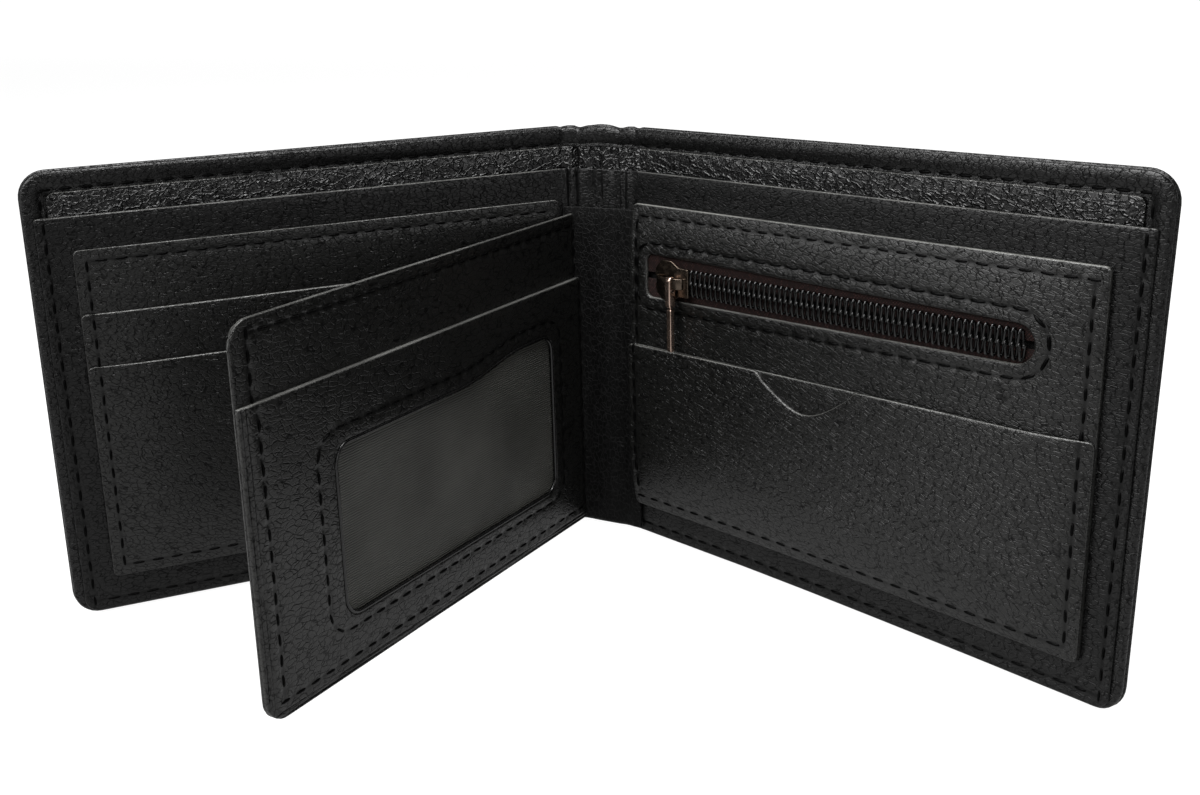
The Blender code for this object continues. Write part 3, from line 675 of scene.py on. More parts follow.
def mark_edges(piece, outline, opening, floor, sides):
    """Mark the painted highlight along turned edges on the face's points, strongest where an edge faces up.
    """
    mesh = piece.data
    place = rows_of(mesh.vertices)
    face = place[:, 2] > floor
    middle = sum(v for u, v in outline) / len(outline)
    edge_highlight = np.zeros(len(place))
    for ring in (outline, opening or []):
        for start, end in zip(ring, ring[1:] + ring[:1]):
            length = math.dist(start, end)
            if length == 0:
                continue
            level = abs(end[0] - start[0]) / length
            weight = max(level ** 4 if ring is opening or start[1] > middle else 0,
                         0.5 if ring is opening else sides)
            gap = near([start, end], place[face, :2])[0]
            edge_highlight[face] = np.maximum(edge_highlight[face], weight * np.clip(1.2 - gap / EDGE_HIGHLIGHT_WIDTH, 0, 1))
    mesh.attributes.new(EDGE_HIGHLIGHT_MASK, "FLOAT", "POINT").data.foreach_set("value", edge_highlight)


def stitch_shape():
    """One stitch: a short thread that rises from its holes, modelled lying along X."""
    mode("OBJECT")
    bpy.ops.object.select_all(action="DESELECT")
    bpy.ops.mesh.primitive_cylinder_add(vertices=6, radius=1, depth=1, end_fill_type="TRIFAN",
                                        rotation=(0, math.pi / 2, 0))
    piece = bpy.context.object
    bpy.ops.object.transform_apply(location=False, rotation=True, scale=False)
    mode("EDIT")
    for share in (-0.38, -0.2, 0.2, 0.38):
        slice_at(0, share)
    mode("OBJECT")
    spots = rows_of(piece.data.vertices)
    faces = [tuple(face.vertices) for face in piece.data.polygons]
    bpy.data.objects.remove(piece, do_unlink=True)
    share = np.abs(spots[:, 0]) * 2
    spots[:, 1:] *= (1 - 0.45 * share ** 4)[:, None]
    spots[:, 2] -= 1.25 * share ** 3
    return spots, faces


STITCH, STITCH_FACES = stitch_shape()


def sew(name, path, level, plane, body, only=None, behind=False):
    """A seam's thread: stitches of one shape set end to end along a path, at the leather's level.

    only is a test of a stitch's place, for a seam whose stitches ride on two bodies. behind turns the
    stitches to the back of the plane.
    """
    points, starts, steps, lengths = along(path)
    pitch = even_pitch(path)
    count = round(starts[-1] / pitch)
    places = []
    faces = []
    for index in range(count):
        middle = (index + 0.5) * pitch
        part = min(int(np.searchsorted(starts, middle, side="right")) - 1, len(lengths) - 1)
        ahead = steps[part] / lengths[part]
        spot = points[part] + ahead * (middle - starts[part])
        if only and not only(*spot):
            continue
        height = level(*spot) if callable(level) else level
        lean = 0.05 * math.sin(index * 2.4)
        across = np.array((-ahead[1], ahead[0]))
        ahead = ahead + lean * across
        grown = np.empty_like(STITCH)
        run = STITCH[:, 0:1] * (pitch - THREAD_GAP)
        grown[:, :2] = spot + run * ahead + STITCH[:, 1:2] * THREAD_RADIUS * across
        out = -1 if behind else 1
        grown[:, 2] = height + out * (STITCH[:, 2] * THREAD_RADIUS - THREAD_SINK)
        faces += [tuple(corner + len(places) * len(STITCH) for corner in face[::out])
                  for face in STITCH_FACES]
        places.append(grown)
    finish(from_points(name, np.concatenate(places).tolist(), faces), plane, THREAD, body,
           smooth=60)


def from_points(name, points, faces):
    """A piece made of points and of faces between them."""
    mesh = bpy.data.meshes.new(name)
    mesh.from_pydata(points, [], faces)
    piece = bpy.data.objects.new(name, mesh)
    bpy.context.scene.collection.objects.link(piece)
    return piece


def loft(name, rings):
    """A closed skin over rings of points, with capped ends."""
    size = len(rings[0])
    faces = []
    for row in range(len(rings) - 1):
        for side in range(size):
            after = (side + 1) % size
            faces.append((row * size + side, row * size + after, (row + 1) * size + after,
                          (row + 1) * size + side))
    faces.append(tuple(range(size)))
    faces.append(tuple((len(rings) - 1) * size + side for side in range(size)))
    piece = from_points(name, [tuple(point) for ring in rings for point in ring], faces)
    alone(piece)
    mode("EDIT")
    face_outwards()
    return piece


# The covers. Each step of the edge profile is a move inwards and a rise from the widest line.

HEM_STEPS = ((0.10, 0.35), (0.28, 0.15), (-0.16, 0.27), (0.04, 0.45), (0.22, 0.33), (0.42, 0.22),
             (0.60, 0.08), (0.80, -0.06), (0.80, -0.25), (0.45, -0.22), (0.35, -0.22), (0.35, 0.13),
             (0.35, 0.0), (0.12, -0.45))
BACK_STEPS = ((0.12, 0.25), (0.32, 0.20), (0.5, 0.11), (0.9, 0.04), (1.3, -0.01), (0.75, -0.16),
              (0.75, 0.13), (1.2, 0.05))
EDGE_LEVEL = -0.1 * MM
TOP_SEAM = 3.9 * MM


def profile(steps, direction):
    """The edge profile as points: inset from the edge, and level."""
    inset = 0.0
    level = EDGE_LEVEL
    points = [(inset, level)]
    for inward, rise in steps:
        inset += inward * MM
        level += direction * rise * MM
        points.append((inset, level))
    return points


COVER_CORNER = 5.5 * MM
PAST_CREASE = -8 * MM
FADE_IN = 8 * MM


def cover_half(name, plane, body, node, seed):
    """An outer cover: rolled and hemmed all round, then cut off where the crease leather takes over."""
    width, height, _ = reach(node, plane)[1]
    piece = blank(name, rounded(PAST_CREASE, width, 0, height, COVER_CORNER, COVER_CORNER), EDGE_LEVEL)
    thicken(0.02 * MM)
    for direction, steps in ((1, HEM_STEPS), (-1, BACK_STEPS)):
        pick(piece, lambda middle, normal: normal.z * direction > 0.9)
        half_width = (width - PAST_CREASE) / 2
        half_height = height / 2
        for inward, rise in steps:
            if inward > 0:
                bpy.ops.mesh.inset(thickness=inward * MM, depth=rise * MM, use_even_offset=True)
            else:
                bpy.ops.mesh.extrude_region_move(
                    TRANSFORM_OT_translate={"value": (0, 0, direction * rise * MM)})
                bpy.ops.transform.resize(
                    value=(1 - inward * MM / half_width, 1 - inward * MM / half_height, 1),
                    center_override=((PAST_CREASE + width) / 2, height / 2, 0))
            half_width -= inward * MM
            half_height -= inward * MM
    slice_up((PAST_CREASE, 0), (width, height), GRID)
    slice_at(0, JOIN, use_fill=True, clear_inner=True)
    mode("OBJECT")

    def swelling(u, v, w):
        return u, v, w + 0.1 * MM * np.clip((u - JOIN) / FADE_IN, 0, 1) * ripple(u, v, seed)

    remap(piece, swelling)
    finish(piece, plane, COVER_LEATHER, body, (node,), smooth=50)


cover_half("cover_leather_left", LEFT, "left_half", "cover_left", 0.3)
cover_half("cover_leather_right", RIGHT, "right_half", "cover_right", 1.9)

# The creases: leather that turns from each half into the spine, in strips that meet at its middle.

BEND_STEPS = 18
SPINE_STEPS = 6
COVER_ROWS = 24
STRIP_HOLD = 0.95
TOP_PLEATS = ((-10.3, 0.7), (-5.0, 0.85), (5.2, 0.8), (10.3, 0.6))
DIVIDER_PLEATS = ((-8.2, 0.7), (-5.6, 0.5), (-1.4, 0.6), (0.6, 0.45), (2.6, 0.6), (5.2, 0.5), (7.0, 0.6))


def stations(side):
    """Along a strip, from its half to the spine's middle: how each level of w is placed."""
    plane, bend, sign, _ = SIDES[side]

    def at(step, level):
        if step <= BEND_STEPS:
            share = step / BEND_STEPS
            first = plane @ Vector((JOIN, 0, level))
            corner = plane @ Vector((level * math.tan(bend / 2), 0, level))
            last = SPINE @ Vector((sign * (SPINE_HALF - JOIN), 0, level))
            place = first * (1 - share) ** 2 + corner * 2 * share * (1 - share) + last * share ** 2
            run = SPINE_HALF + JOIN - 2 * JOIN * share
            toward = first.lerp(corner, share) - corner.lerp(last, share)
        else:
            share = (step - BEND_STEPS) / SPINE_STEPS
            run = (SPINE_HALF - JOIN) * (1 - share)
            place = SPINE @ Vector((sign * run, 0, level))
            toward = SPINE.to_3x3() @ Vector((sign, 0, 0))
        toward.normalize()
        inside = Vector((toward.y, -toward.x, 0)) * sign
        return place, inside, sign * run
    return at


def crease_strip(name, side, section, crumple, material, node):
    """A strip of one layer over a crease; section is its closed outline in w and v.

    The left strip takes the place of the node that the two strips stand for.
    """
    at = stations(side)
    rings = []
    for step in range(BEND_STEPS + SPINE_STEPS + 1):
        ring = []
        for level, v in section:
            place, inside, run = at(step, level)
            push, drop = crumple(run / MM, v / MM, level / MM)
            place = place + inside * push * MM
            ring.append((place.x, place.y, v + drop * MM))
        rings.append(ring)
    piece = loft(name, rings)
    plane, _, sign, body = SIDES[side]
    start = plane @ Vector((STRIP_HOLD * JOIN, 0, 0))
    end = SPINE @ Vector((sign * (SPINE_HALF - STRIP_HOLD * JOIN), 0, 0))
    finish(piece, None, material, (body, "spine", start, end), (node,) if side == "left" else (),
           smooth=50)


CREASE_AT = 11.17


def settled(run, width):
    """1 along a strip, but 0 where it is bent round a crease."""
    return 1 - bump_at(abs(run), CREASE_AT, width)


def bump_at(x, centre, width):
    """A bell of height 1 round a centre."""
    return math.exp(-((x - centre) / width) ** 2)


def cover_crumple(run, v, level):
    """Pleats that folding has pressed into the spine's hem, and soft folds below them on the back."""
    ends = settled(run, 0.8)
    top = math.exp(-max(95 - v, 0) / 6)
    foot = math.exp(-max(v, 0) / 5)
    push = 0
    drop = 0
    for centre, depth in TOP_PLEATS:
        dent = depth * bump_at(run, centre, 1.25)
        push -= (0.45 if level > 0.3 else -0.1) * dent * (top + 0.5 * foot) * ends
        drop -= 0.5 * dent * top * ends
    drop += 0.35 * bump_at(run, 0.5, 2.2) * top
    if level < 0:
        push += 0.22 * math.sin(run * 2.1 + 0.5 * math.sin(v * 0.13)) * ends
    return push, drop


def lining_crumple(run, v, level):
    """Upright folds of the note lining behind the divider."""
    ends = settled(run, 1.4)
    fold = 0.5 * math.sin(run * 1.35 + 0.4 * math.sin(v * 0.2)) + 0.3 * math.sin(run * 2.9 + v * 0.11)
    return fold * ends, 0


def divider_crumple(run, v, level):
    """Narrow pleats that gather the divider's top between the creases."""
    ends = settled(run, 1.5)
    deep = math.exp(-max(85.6 - v, 0) / 9)
    fold = 0
    for centre, width in DIVIDER_PLEATS:
        fold -= 0.75 * bump_at(run, centre, width)
    soft = 0.14 * math.sin(run * 1.1 + v * 0.07)
    return (fold * (0.25 + 0.75 * deep) + soft) * ends, -0.15 * deep * abs(fold) * ends


def gusset_crumple(run, v, level):
    """Slack upright folds of the strip between the pocket blocks."""
    ends = settled(run, 1.5)
    fold = 0.16 * math.sin(run * 0.8 + 0.3 * math.sin(v * 0.12) + 0.6) + 0.05 * math.sin(run * 2.2 + v * 0.2)
    return fold * ends, 0


SECTION_STEP = 3.0 * MM
SECTION_EDGE = 0.28 * MM


def upright_section(v0, v1, back, face):
    """A thin upright layer's closed outline, with its top and foot turned round."""
    edge = SECTION_EDGE
    count = max(int((v1 - v0) / SECTION_STEP), 2)
    rows = [v0 + edge + (v1 - v0 - 2 * edge) * i / count for i in range(count + 1)]
    middle = (back + face) / 2
    half = (face - back) / 2
    points = [(face, v) for v in rows]
    points += [(middle + 0.7 * half, v1 - 0.3 * edge), (middle, v1), (middle - 0.7 * half, v1 - 0.3 * edge)]
    points += [(back, v) for v in reversed(rows)]
    points += [(middle - 0.7 * half, v0 + 0.3 * edge), (middle, v0), (middle + 0.7 * half, v0 + 0.3 * edge)]
    return points


def cover_section(height):
    """The cover's closed outline at the crease: the same hems and back as on the halves."""
    hem = profile(HEM_STEPS, 1)
    back = profile(BACK_STEPS, -1)
    inner = hem[-1]
    points = [(level, inset) for inset, level in hem]
    count = COVER_ROWS
    points += [(inner[1], inner[0] + (height - 2 * inner[0]) * i / count) for i in range(1, count)]
    points += [(level, height - inset) for inset, level in reversed(hem)]
    points += [(level, height - inset) for inset, level in back[1:]]
    inner = back[-1]
    points += [(inner[1], height - inner[0] - (height - 2 * inner[0]) * i / count) for i in range(1, count)]
    points += [(level, inset) for inset, level in reversed(back[1:])]
    return points


cover_height = reach("cover_spine", SPINE)[1][1]
for side in SIDES:
    crease_strip(f"cover_crease_{side}", side, cover_section(cover_height), cover_crumple, COVER_LEATHER,
                 "cover_spine")

# The note compartment's lining and the divider.

LINING_TOP_INSET = 4.6 * MM

for side, (plane, _, _, body) in SIDES.items():
    low, high = reach(f"lining_{side}", plane)
    top = cover_height - LINING_TOP_INSET
    outline = rounded(-JOIN, high[0] + 1.2 * MM, low[1], top, 0.3 * MM, 1.5 * MM)
    panel = leather_panel(f"note_lining_{side}", outline, low[2], high[2], spacing=3 * MM, wave=0.1 * MM,
                          seed=2.2, part=(JOIN, "far"))
    finish(panel, plane, LINING_LEATHER, body, (f"lining_{side}",))
    section = upright_section(low[1], top, low[2], high[2])
    crease_strip(f"note_lining_crease_{side}", side, section, lining_crumple, LINING_LEATHER,
                 "lining_spine")

DIVIDER_REACH = 0.8 * MM
FOOT_SEAM = 3.1 * MM
CREST_LEVEL = profile(HEM_STEPS, 1)[11][1] + 0.14 * MM
BACK_LEVEL = profile(BACK_STEPS, -1)[6][1] - 0.05 * MM

for side, (plane, _, _, body) in SIDES.items():
    low, high = reach(f"divider_{side}", plane)
    outer = reach(f"cover_{side}", plane)[1][0] - TOP_SEAM
    crest = cover_height - TOP_SEAM
    seam = [(outer, high[1]), (outer - 0.3 * MM, FOOT_SEAM), (JOIN, FOOT_SEAM)]
    outline = rounded(-JOIN, high[0] + DIVIDER_REACH, low[1], high[1], 0.3 * MM, 3 * MM, 0.6 * MM)
    panel = leather_panel(f"divider_leather_{side}", outline, low[2] - 0.2 * MM, high[2], [seam],
                          edge=0.45 * MM, wave=0.05 * MM, seed=0.7, part=(JOIN, "far"), sides=0)
    finish(panel, plane, DIVIDER_LEATHER, body, (f"divider_{side}",))
    sew(f"edge_thread_{side}", seam, high[2], plane, body)
    sew(f"hem_thread_{side}", [(outer, high[1] + 0.6 * MM), (outer, crest), (JOIN, crest)], CREST_LEVEL,
        plane, body)
    sew(f"cover_thread_{side}", [(JOIN, crest), (outer, crest), (outer, TOP_SEAM), (JOIN, TOP_SEAM)],
        BACK_LEVEL, plane, body, behind=True)
    section = upright_section(low[1], high[1], low[2], high[2])
    crease_strip(f"divider_crease_{side}", side, section, divider_crumple, DIVIDER_LEATHER,
                 "divider_spine")

low, high = reach("gusset_spine", SPINE)
for side in SIDES:
    section = upright_section(low[1], high[1], low[2], high[2])
    crease_strip(f"gusset_crease_{side}", side, section, gusset_crumple, GUSSET_LEATHER,
                 "gusset_spine")

# The left half's card pockets.

BLOCK_SEAM = 2.4 * MM
POCKET_CORNER = 1.2 * MM
POCKET_EDGE = 0.4 * MM
SKIRT = 0.35 * MM
LIFT = 0.12 * MM
LEFT_BASE = reach("divider_left", LEFT)[1][2]
RIGHT_BASE = reach("divider_right", RIGHT)[1][2]


def pocket_outline(start, low, high):
    """A pocket's rectangle from a start beside the crease."""
    return rounded(start, high[0], low[1], high[1], POCKET_CORNER, POCKET_CORNER)


def block_seam(low, high):
    """The seam round a pocket block, just inside its edges."""
    near_end, far, foot, top = (low[0] + BLOCK_SEAM, high[0] - BLOCK_SEAM, low[1] + BLOCK_SEAM,
                                high[1] - BLOCK_SEAM)
    return [(near_end, top), (far, top), (far, foot), (near_end, foot)]


def turned_down(low, high, base):
    """A rule for remap: the back of a layer's outer edge is turned down to the leather below it."""
    def change(u, v, w):
        inside = np.minimum(np.minimum(high[0] - u, high[1] - v), v - low[1])
        return u, v, np.where((inside < SKIRT) & (w < low[2]), base + LIFT, w)
    return change


def pocket(side, name, node, outline, back, face, seams, seed, changes, opening=None):
    """One layer of a half's pocket block: sewn down, then moved by rules for remap."""
    plane, _, _, body = SIDES[side]
    panel = leather_panel(name, outline, back, face, seams, opening, POCKET_EDGE, seed=seed)
    for change in changes:
        remap(panel, change)
    finish(panel, plane, POCKET_LEATHER, body, (node,))


block_low, block_high = reach("card_panel_left", LEFT)
slot_tops = [reach(node, LEFT)[1] for node in ("card_slot_left_upper", "card_slot_left_lower")]
left_seam = block_seam(block_low, block_high)
press_left = pressing(block_low, block_high, LEFT_BASE)


def left_level(u, v):
    """The level of the left block's face, on which its thread lies."""
    level = slot_tops[0][2] if v > slot_tops[1][1] else slot_tops[1][2]
    if v > slot_tops[0][1]:
        level = block_high[2]
    return press_left(u, v, level)[2]


for name, node, seed in (("card_panel_leather_left", "card_panel_left", 0.1),
                         ("card_slot_leather_upper", "card_slot_left_upper", 1.3),
                         ("card_slot_leather_lower", "card_slot_left_lower", 2.9)):
    low, high = reach(node, LEFT)
    changes = [turned_down(low, high, LEFT_BASE)] if node == "card_panel_left" else []
    pocket("left", name, node, pocket_outline(low[0], low, high), low[2] - 0.3 * MM, high[2], [left_seam],
           seed, [*changes, press_left])
sew("block_thread_left", left_seam, left_level, LEFT, "left_half")

# The right half: coin pocket, zip and card pockets.

panel_low, panel_high = reach("zip_panel", RIGHT)
rear_low, rear_high = reach("card_slot_right_rear", RIGHT)
front_low, front_high = reach("card_slot_right_front", RIGHT)
RIGHT_START = 2.9 * MM
ZIP_MIDDLE = joint_places["pull_swing"][2]
ZIP_NEAR = 7.8 * MM
ZIP_FAR = 97.8 * MM
ZIP_NEAR_HALF = 4.8 * MM
ZIP_FAR_HALF = 3.7 * MM


def zip_outline(margin):
    """The zip's opening, blunt at its near end and round at its far end, widened by a margin."""
    corner = 1.6 * MM + margin
    half = ZIP_NEAR_HALF + margin
    near_end = ZIP_NEAR - margin
    far = (ZIP_FAR - ZIP_FAR_HALF, ZIP_MIDDLE)
    points = arc((near_end + corner, ZIP_MIDDLE - half + corner), corner, 180, 270)
    points += arc(far, ZIP_FAR_HALF + margin, -90, 90, 2 * ARC_STEPS)
    points += arc((near_end + corner, ZIP_MIDDLE + half - corner), corner, 90, 180)
    return points


NOTCH_CENTRE = 51 * MM
NOTCH_WIDTH = 27 * MM
NOTCH_DEPTH = 6.8 * MM
NOTCH_STEPS = 28
FRONT_NEAR_DROP = 0.45 * MM
FRONT_FAR_RISE = 0.9 * MM
REAR_NEAR_DROP = 1.5 * MM
REAR_FAR_DROP = 0.5 * MM
TILT_REACH = 14 * MM


def notch_drop(u):
    """How far the front pocket's edge dips at u: a soft thumb notch."""
    share = abs(u - NOTCH_CENTRE) / (NOTCH_WIDTH / 2)
    if share >= 1:
        return 0.0
    bowl = math.sqrt(max(1 - (share / 0.86) ** 2, 0))
    soft = (1 + math.cos(math.pi * share)) / 2
    return NOTCH_DEPTH * (0.4 * bowl + 0.6 * soft)


def front_outline(low, high):
    """The front pocket, whose top edge dips in the notch."""
    points = pocket_outline(RIGHT_START, low, high)
    notch = []
    for step in range(NOTCH_STEPS + 1):
        u = NOTCH_CENTRE + NOTCH_WIDTH * (1 / 2 - step / NOTCH_STEPS)
        notch.append((u, high[1] - notch_drop(u)))
    return points[:-(ARC_STEPS + 1)] + notch + points[-(ARC_STEPS + 1):]


def tilted(top, near_end, far_end):
    """A rule for remap: a pocket's top edge is moved up by so much at its near and far ends."""
    def change(u, v, w):
        share = np.clip((v - top + TILT_REACH) / TILT_REACH, 0, 1)
        along_top = np.clip(u / panel_high[0], 0, 1)
        eased = near_end + (far_end - near_end) * along_top * (1.6 - 0.6 * along_top)
        return u, v + share * eased, w
    return change


INNER_MARGIN = 1.8 * MM
ZIP_SEAM = 2.6 * MM
corners = block_seam((RIGHT_START, panel_low[1]), panel_high)
right_seam = [(RIGHT_START + INNER_MARGIN, corners[0][1]), *corners[1:3],
              (RIGHT_START + INNER_MARGIN, corners[2][1]), (RIGHT_START + INNER_MARGIN, corners[0][1])]
zip_seam = zip_outline(ZIP_SEAM)
zip_seam.append(zip_seam[0])
ZIP_FACE = panel_high[2] + 0.15 * MM
press_right = pressing(panel_low, panel_high, RIGHT_BASE)


def right_level(u, v):
    """The level of the right block's face, on which its thread lies."""
    level = rear_high[2] if v > front_high[1] - notch_drop(u) else front_high[2]
    if v > rear_high[1]:
        level = ZIP_FACE
    return press_right(u, v, level)[2]


pocket("right", "zip_panel_leather", "zip_panel", pocket_outline(RIGHT_START, panel_low, panel_high),
       panel_low[2] - 0.25 * MM, ZIP_FACE, [right_seam, zip_seam], 0.4,
       [turned_down(panel_low, panel_high, RIGHT_BASE), press_right], zip_outline(0))
pocket("right", "card_slot_leather_rear", "card_slot_right_rear",
       pocket_outline(RIGHT_START, rear_low, rear_high), rear_low[2] - 0.25 * MM, rear_high[2],
       [right_seam], 1.7, [tilted(rear_high[1], -REAR_NEAR_DROP, -REAR_FAR_DROP), press_right])
pocket("right", "card_slot_leather_front", "card_slot_right_front", front_outline(front_low, front_high),
       front_low[2] - 0.3 * MM, front_high[2], [right_seam], 3.1,
       [tilted(front_high[1], -FRONT_NEAR_DROP, FRONT_FAR_RISE), press_right])
sew("block_thread_right", right_seam, right_level, RIGHT, "right_half")
sew("zip_thread", zip_seam, ZIP_FACE, RIGHT, "right_half")

# The zip: lining cloth, tapes, coils, slider and pull.


def zip_cloth(name, node, corner, thicker, edge, spacing, wave, material):
    """A cloth of the zip pocket, pressed down with the block, and its solid's reach."""
    low, high = reach(node, RIGHT)
    piece = leather_panel(name, rounded(low[0], high[0], low[1], high[1], corner, corner), low[2],
                          high[2] + thicker, edge=edge, spacing=spacing, wave=wave)
    remap(piece, press_right)
    lay_flat_map(piece)
    return finish(piece, RIGHT, material, "right_half", (node,)), low, high


cloth, low, high = zip_cloth("coin_pocket_cloth", "coin_pocket_lining", 1 * MM, 0, 0.05 * MM, 3 * MM,
                             0.05 * MM, BAG_CLOTH)
for which in ("upper", "lower"):
    cloth, low, high = zip_cloth(f"zip_tape_cloth_{which}", f"zip_tape_{which}", 0.2 * MM, 0.1 * MM,
                                 0.08 * MM, 2 * MM, 0.04 * MM, TAPE_CLOTH)

COIL_PITCH = 1.3 * MM
COIL_WIRE = 0.56 * MM
COIL_LOOP = 3.1 * MM
COIL_HEIGHT = 0.95 * MM
COIL_MESH = 0.7 * MM
COIL_POINTS = 16


def squared(wave, power):
    """A sine or cosine with its crest flattened."""
    return math.copysign(abs(wave) ** power, wave)


def tube(name, points, radius, closed=False):
    """A round tube laid through points, with capped ends if it is open."""
    curve = bpy.data.curves.new(name, "CURVE")
    curve.dimensions = "3D"
    curve.bevel_depth = radius
    curve.bevel_resolution = 2
    curve.use_fill_caps = not closed
    spline = curve.splines.new("POLY")
    spline.use_cyclic_u = closed
    spline.points.add(len(points) - 1)
    for point, place in zip(spline.points, points):
        point.co = (*place, 1)
    piece = bpy.data.objects.new(name, curve)
    bpy.context.scene.collection.objects.link(piece)
    alone(piece)
    bpy.ops.object.convert(target="MESH")
    return bpy.context.object


def zip_coil(which, direction):
    """One nylon coil: upright legs across its face, which lean back underneath to the next turn."""
    low, high = reach(f"zip_coil_{which}", RIGHT)
    level = (low[2] + high[2]) / 2
    start = low[0] + COIL_WIRE
    turns = int((ZIP_FAR - 1.2 * MM - start) / COIL_PITCH)
    middle = ZIP_MIDDLE + direction * (COIL_LOOP - COIL_MESH) / 2
    phase = 0 if direction > 0 else COIL_PITCH / 2
    points = []
    for step in range(turns * COIL_POINTS + 1):
        turn = step / COIL_POINTS
        angle = 2 * math.pi * turn
        lean = 0.22 * math.sin(angle)
        points.append((start + phase + COIL_PITCH * (turn + lean * 0.5),
                       middle - direction * COIL_LOOP / 2 * squared(math.cos(angle), 0.75),
                       level + COIL_HEIGHT / 2 * squared(math.sin(angle), 0.55)))
    finish(tube(f"zip_coil_row_{which}", points, COIL_WIRE / 2), RIGHT, NYLON, "right_half",
           (f"zip_coil_{which}",), smooth=60)


zip_coil("upper", 1)
zip_coil("lower", -1)


def solid(name, outline, back, face, bevel):
    """A plate of metal: cut out, and rounded along its edges."""
    piece = slab(name, outline, back, face)
    apply(piece, "BEVEL", width=bevel, segments=3, limit_method="ANGLE", angle_limit=math.radians(35))
    return piece


def strap(name, spots, half_width, thickness, bevel):
    """A flat metal strip bent along spots in u and w, with its width along v."""
    spots = [Vector(spot) for spot in spots]
    outer = []
    inner = []
    for index, spot in enumerate(spots):
        before = spots[max(index - 1, 0)]
        after = spots[min(index + 1, len(spots) - 1)]
        ahead = (after - before).normalized()
        side = Vector((-ahead.y, ahead.x)) * thickness / 2
        outer.append(tuple(spot + side))
        inner.append(tuple(spot - side))
    piece = solid(name, inner + outer[::-1], -half_width, half_width, bevel)
    piece.data.transform(SWAP_V_W)
    piece.data.flip_normals()
    return piece


# Axes exchanged, for a plate that is cut out flat and stands crossways, and a plane turned over.
SWAP_V_W = Matrix(((1, 0, 0, 0), (0, 0, 1, 0), (0, 1, 0, 0), (0, 0, 0, 1)))
SWAP_U_W = Matrix(((0, 0, 1, 0), (0, 1, 0, 0), (1, 0, 0, 0), (0, 0, 0, 1)))
TURN_OVER = Matrix.Diagonal((1, 1, -1, 1))

SLIDER_START = 8.6 * MM
SLIDER_DRAWN = 3.0 * MM
DIAMOND_AT = 3 * MM
DIAMOND_RADIUS = 0.9 * MM
SLIDER = RIGHT @ Matrix.Translation((SLIDER_START + SLIDER_DRAWN, ZIP_MIDDLE, 0))
swing = joint_places["pull_swing"]
PULL = plane_at(swing, -RIGHT_BEND, -1)
PULL.translation.z = swing[2]
PULL_DRAWN = 3.9 * MM
PULL = PULL @ Matrix.Translation((PULL_DRAWN, 0, 0))
PIN_LEVEL = (SLIDER.inverted() @ Vector(swing)).z
slider_low, slider_high = reach("slider_body", SLIDER)
SLIDER_LENGTH = slider_high[0] - slider_low[0]
SLIDER_FRONT = slider_high[1]
SLIDER_REAR = 3.15 * MM
TOP_PLATE = PIN_LEVEL - 1.42 * MM
PLATE_THICKNESS = 0.45 * MM
BASE_PLATE = slider_low[2]
STRAP_HALF = 1.15 * MM
STRAP_THICKNESS = 0.42 * MM


def slider_outline():
    """A slider plate from above: notched nose, broad shoulders, straight sides drawn in behind."""
    upper = [(SLIDER_LENGTH, SLIDER_REAR - 0.2 * MM), (SLIDER_LENGTH - 0.25 * MM, SLIDER_REAR),
             (6.6 * MM, SLIDER_REAR), (4.6 * MM, SLIDER_FRONT), (1.8 * MM, SLIDER_FRONT),
             (0.3 * MM, SLIDER_FRONT - 1.7 * MM), (0, 1.2 * MM)]
    lower = [(u, -v) for u, v in reversed(upper)]
    return (upper + [(0.55 * MM, 0)] + lower)[::-1]


def slider_part(name, outline, back, face, bevel, material=PAINTED_SHADE_METAL, nodes=()):
    """A part of the slider's casting, as it is seen from above."""
    finish(solid(name, outline, back, face, bevel), SLIDER, material, "zip_slider", nodes,
           smooth=30)


slider_part("slider_top_plate", slider_outline(), TOP_PLATE - PLATE_THICKNESS, TOP_PLATE, 0.12 * MM,
            nodes=("slider_body",))
slider_part("slider_base_plate", slider_outline(), BASE_PLATE, BASE_PLATE + 0.3 * MM, 0.08 * MM, METAL)
FLANGE_START = 5 * MM
FLANGE_END = SLIDER_LENGTH - 0.9 * MM
for side, label in ((-1, "lower"), (1, "upper")):
    edge = [(FLANGE_START, SLIDER_REAR - 0.45 * MM), (FLANGE_END, 1.9 * MM), (FLANGE_END, 2.3 * MM),
            (FLANGE_START, SLIDER_REAR - 0.05 * MM)]
    slider_part(f"slider_flange_{label}", [(u, side * v) for u, v in edge][::side],
                BASE_PLATE + 1.1 * MM, TOP_PLATE - 0.3 * MM, 0.06 * MM)
slider_part("slider_diamond", arc((DIAMOND_AT, 0), DIAMOND_RADIUS, 0, 330, 11), BASE_PLATE + 0.2 * MM,
            TOP_PLATE - 0.2 * MM, 0.05 * MM)

BAIL_START = 1.3 * MM
BAIL_END = 8.2 * MM
BAIL_MIDDLE = (BAIL_START + BAIL_END) / 2
BAIL_HALF = (BAIL_END - BAIL_START) / 2
BAIL_RISE = PIN_LEVEL - TOP_PLATE + 0.2 * MM
bail_path = [(BAIL_START - 0.5 * MM, TOP_PLATE + 0.12 * MM)]
for step in range(17):
    angle = math.pi * (1 - step / 16)
    bail_path.append((BAIL_MIDDLE + BAIL_HALF * squared(math.cos(angle), 0.8),
                      TOP_PLATE + 0.1 * MM + BAIL_RISE * squared(math.sin(angle), 0.62)))
bail_path.append((BAIL_END + 0.5 * MM, TOP_PLATE + 0.12 * MM))
bail = strap("slider_bail", bail_path, STRAP_HALF, STRAP_THICKNESS, 0.11 * MM)
finish(bail, SLIDER, PAINTED_SHADE_METAL, "zip_slider", smooth=30)

# The pull: an eye folded over the bail, a waist, and a bar below it.

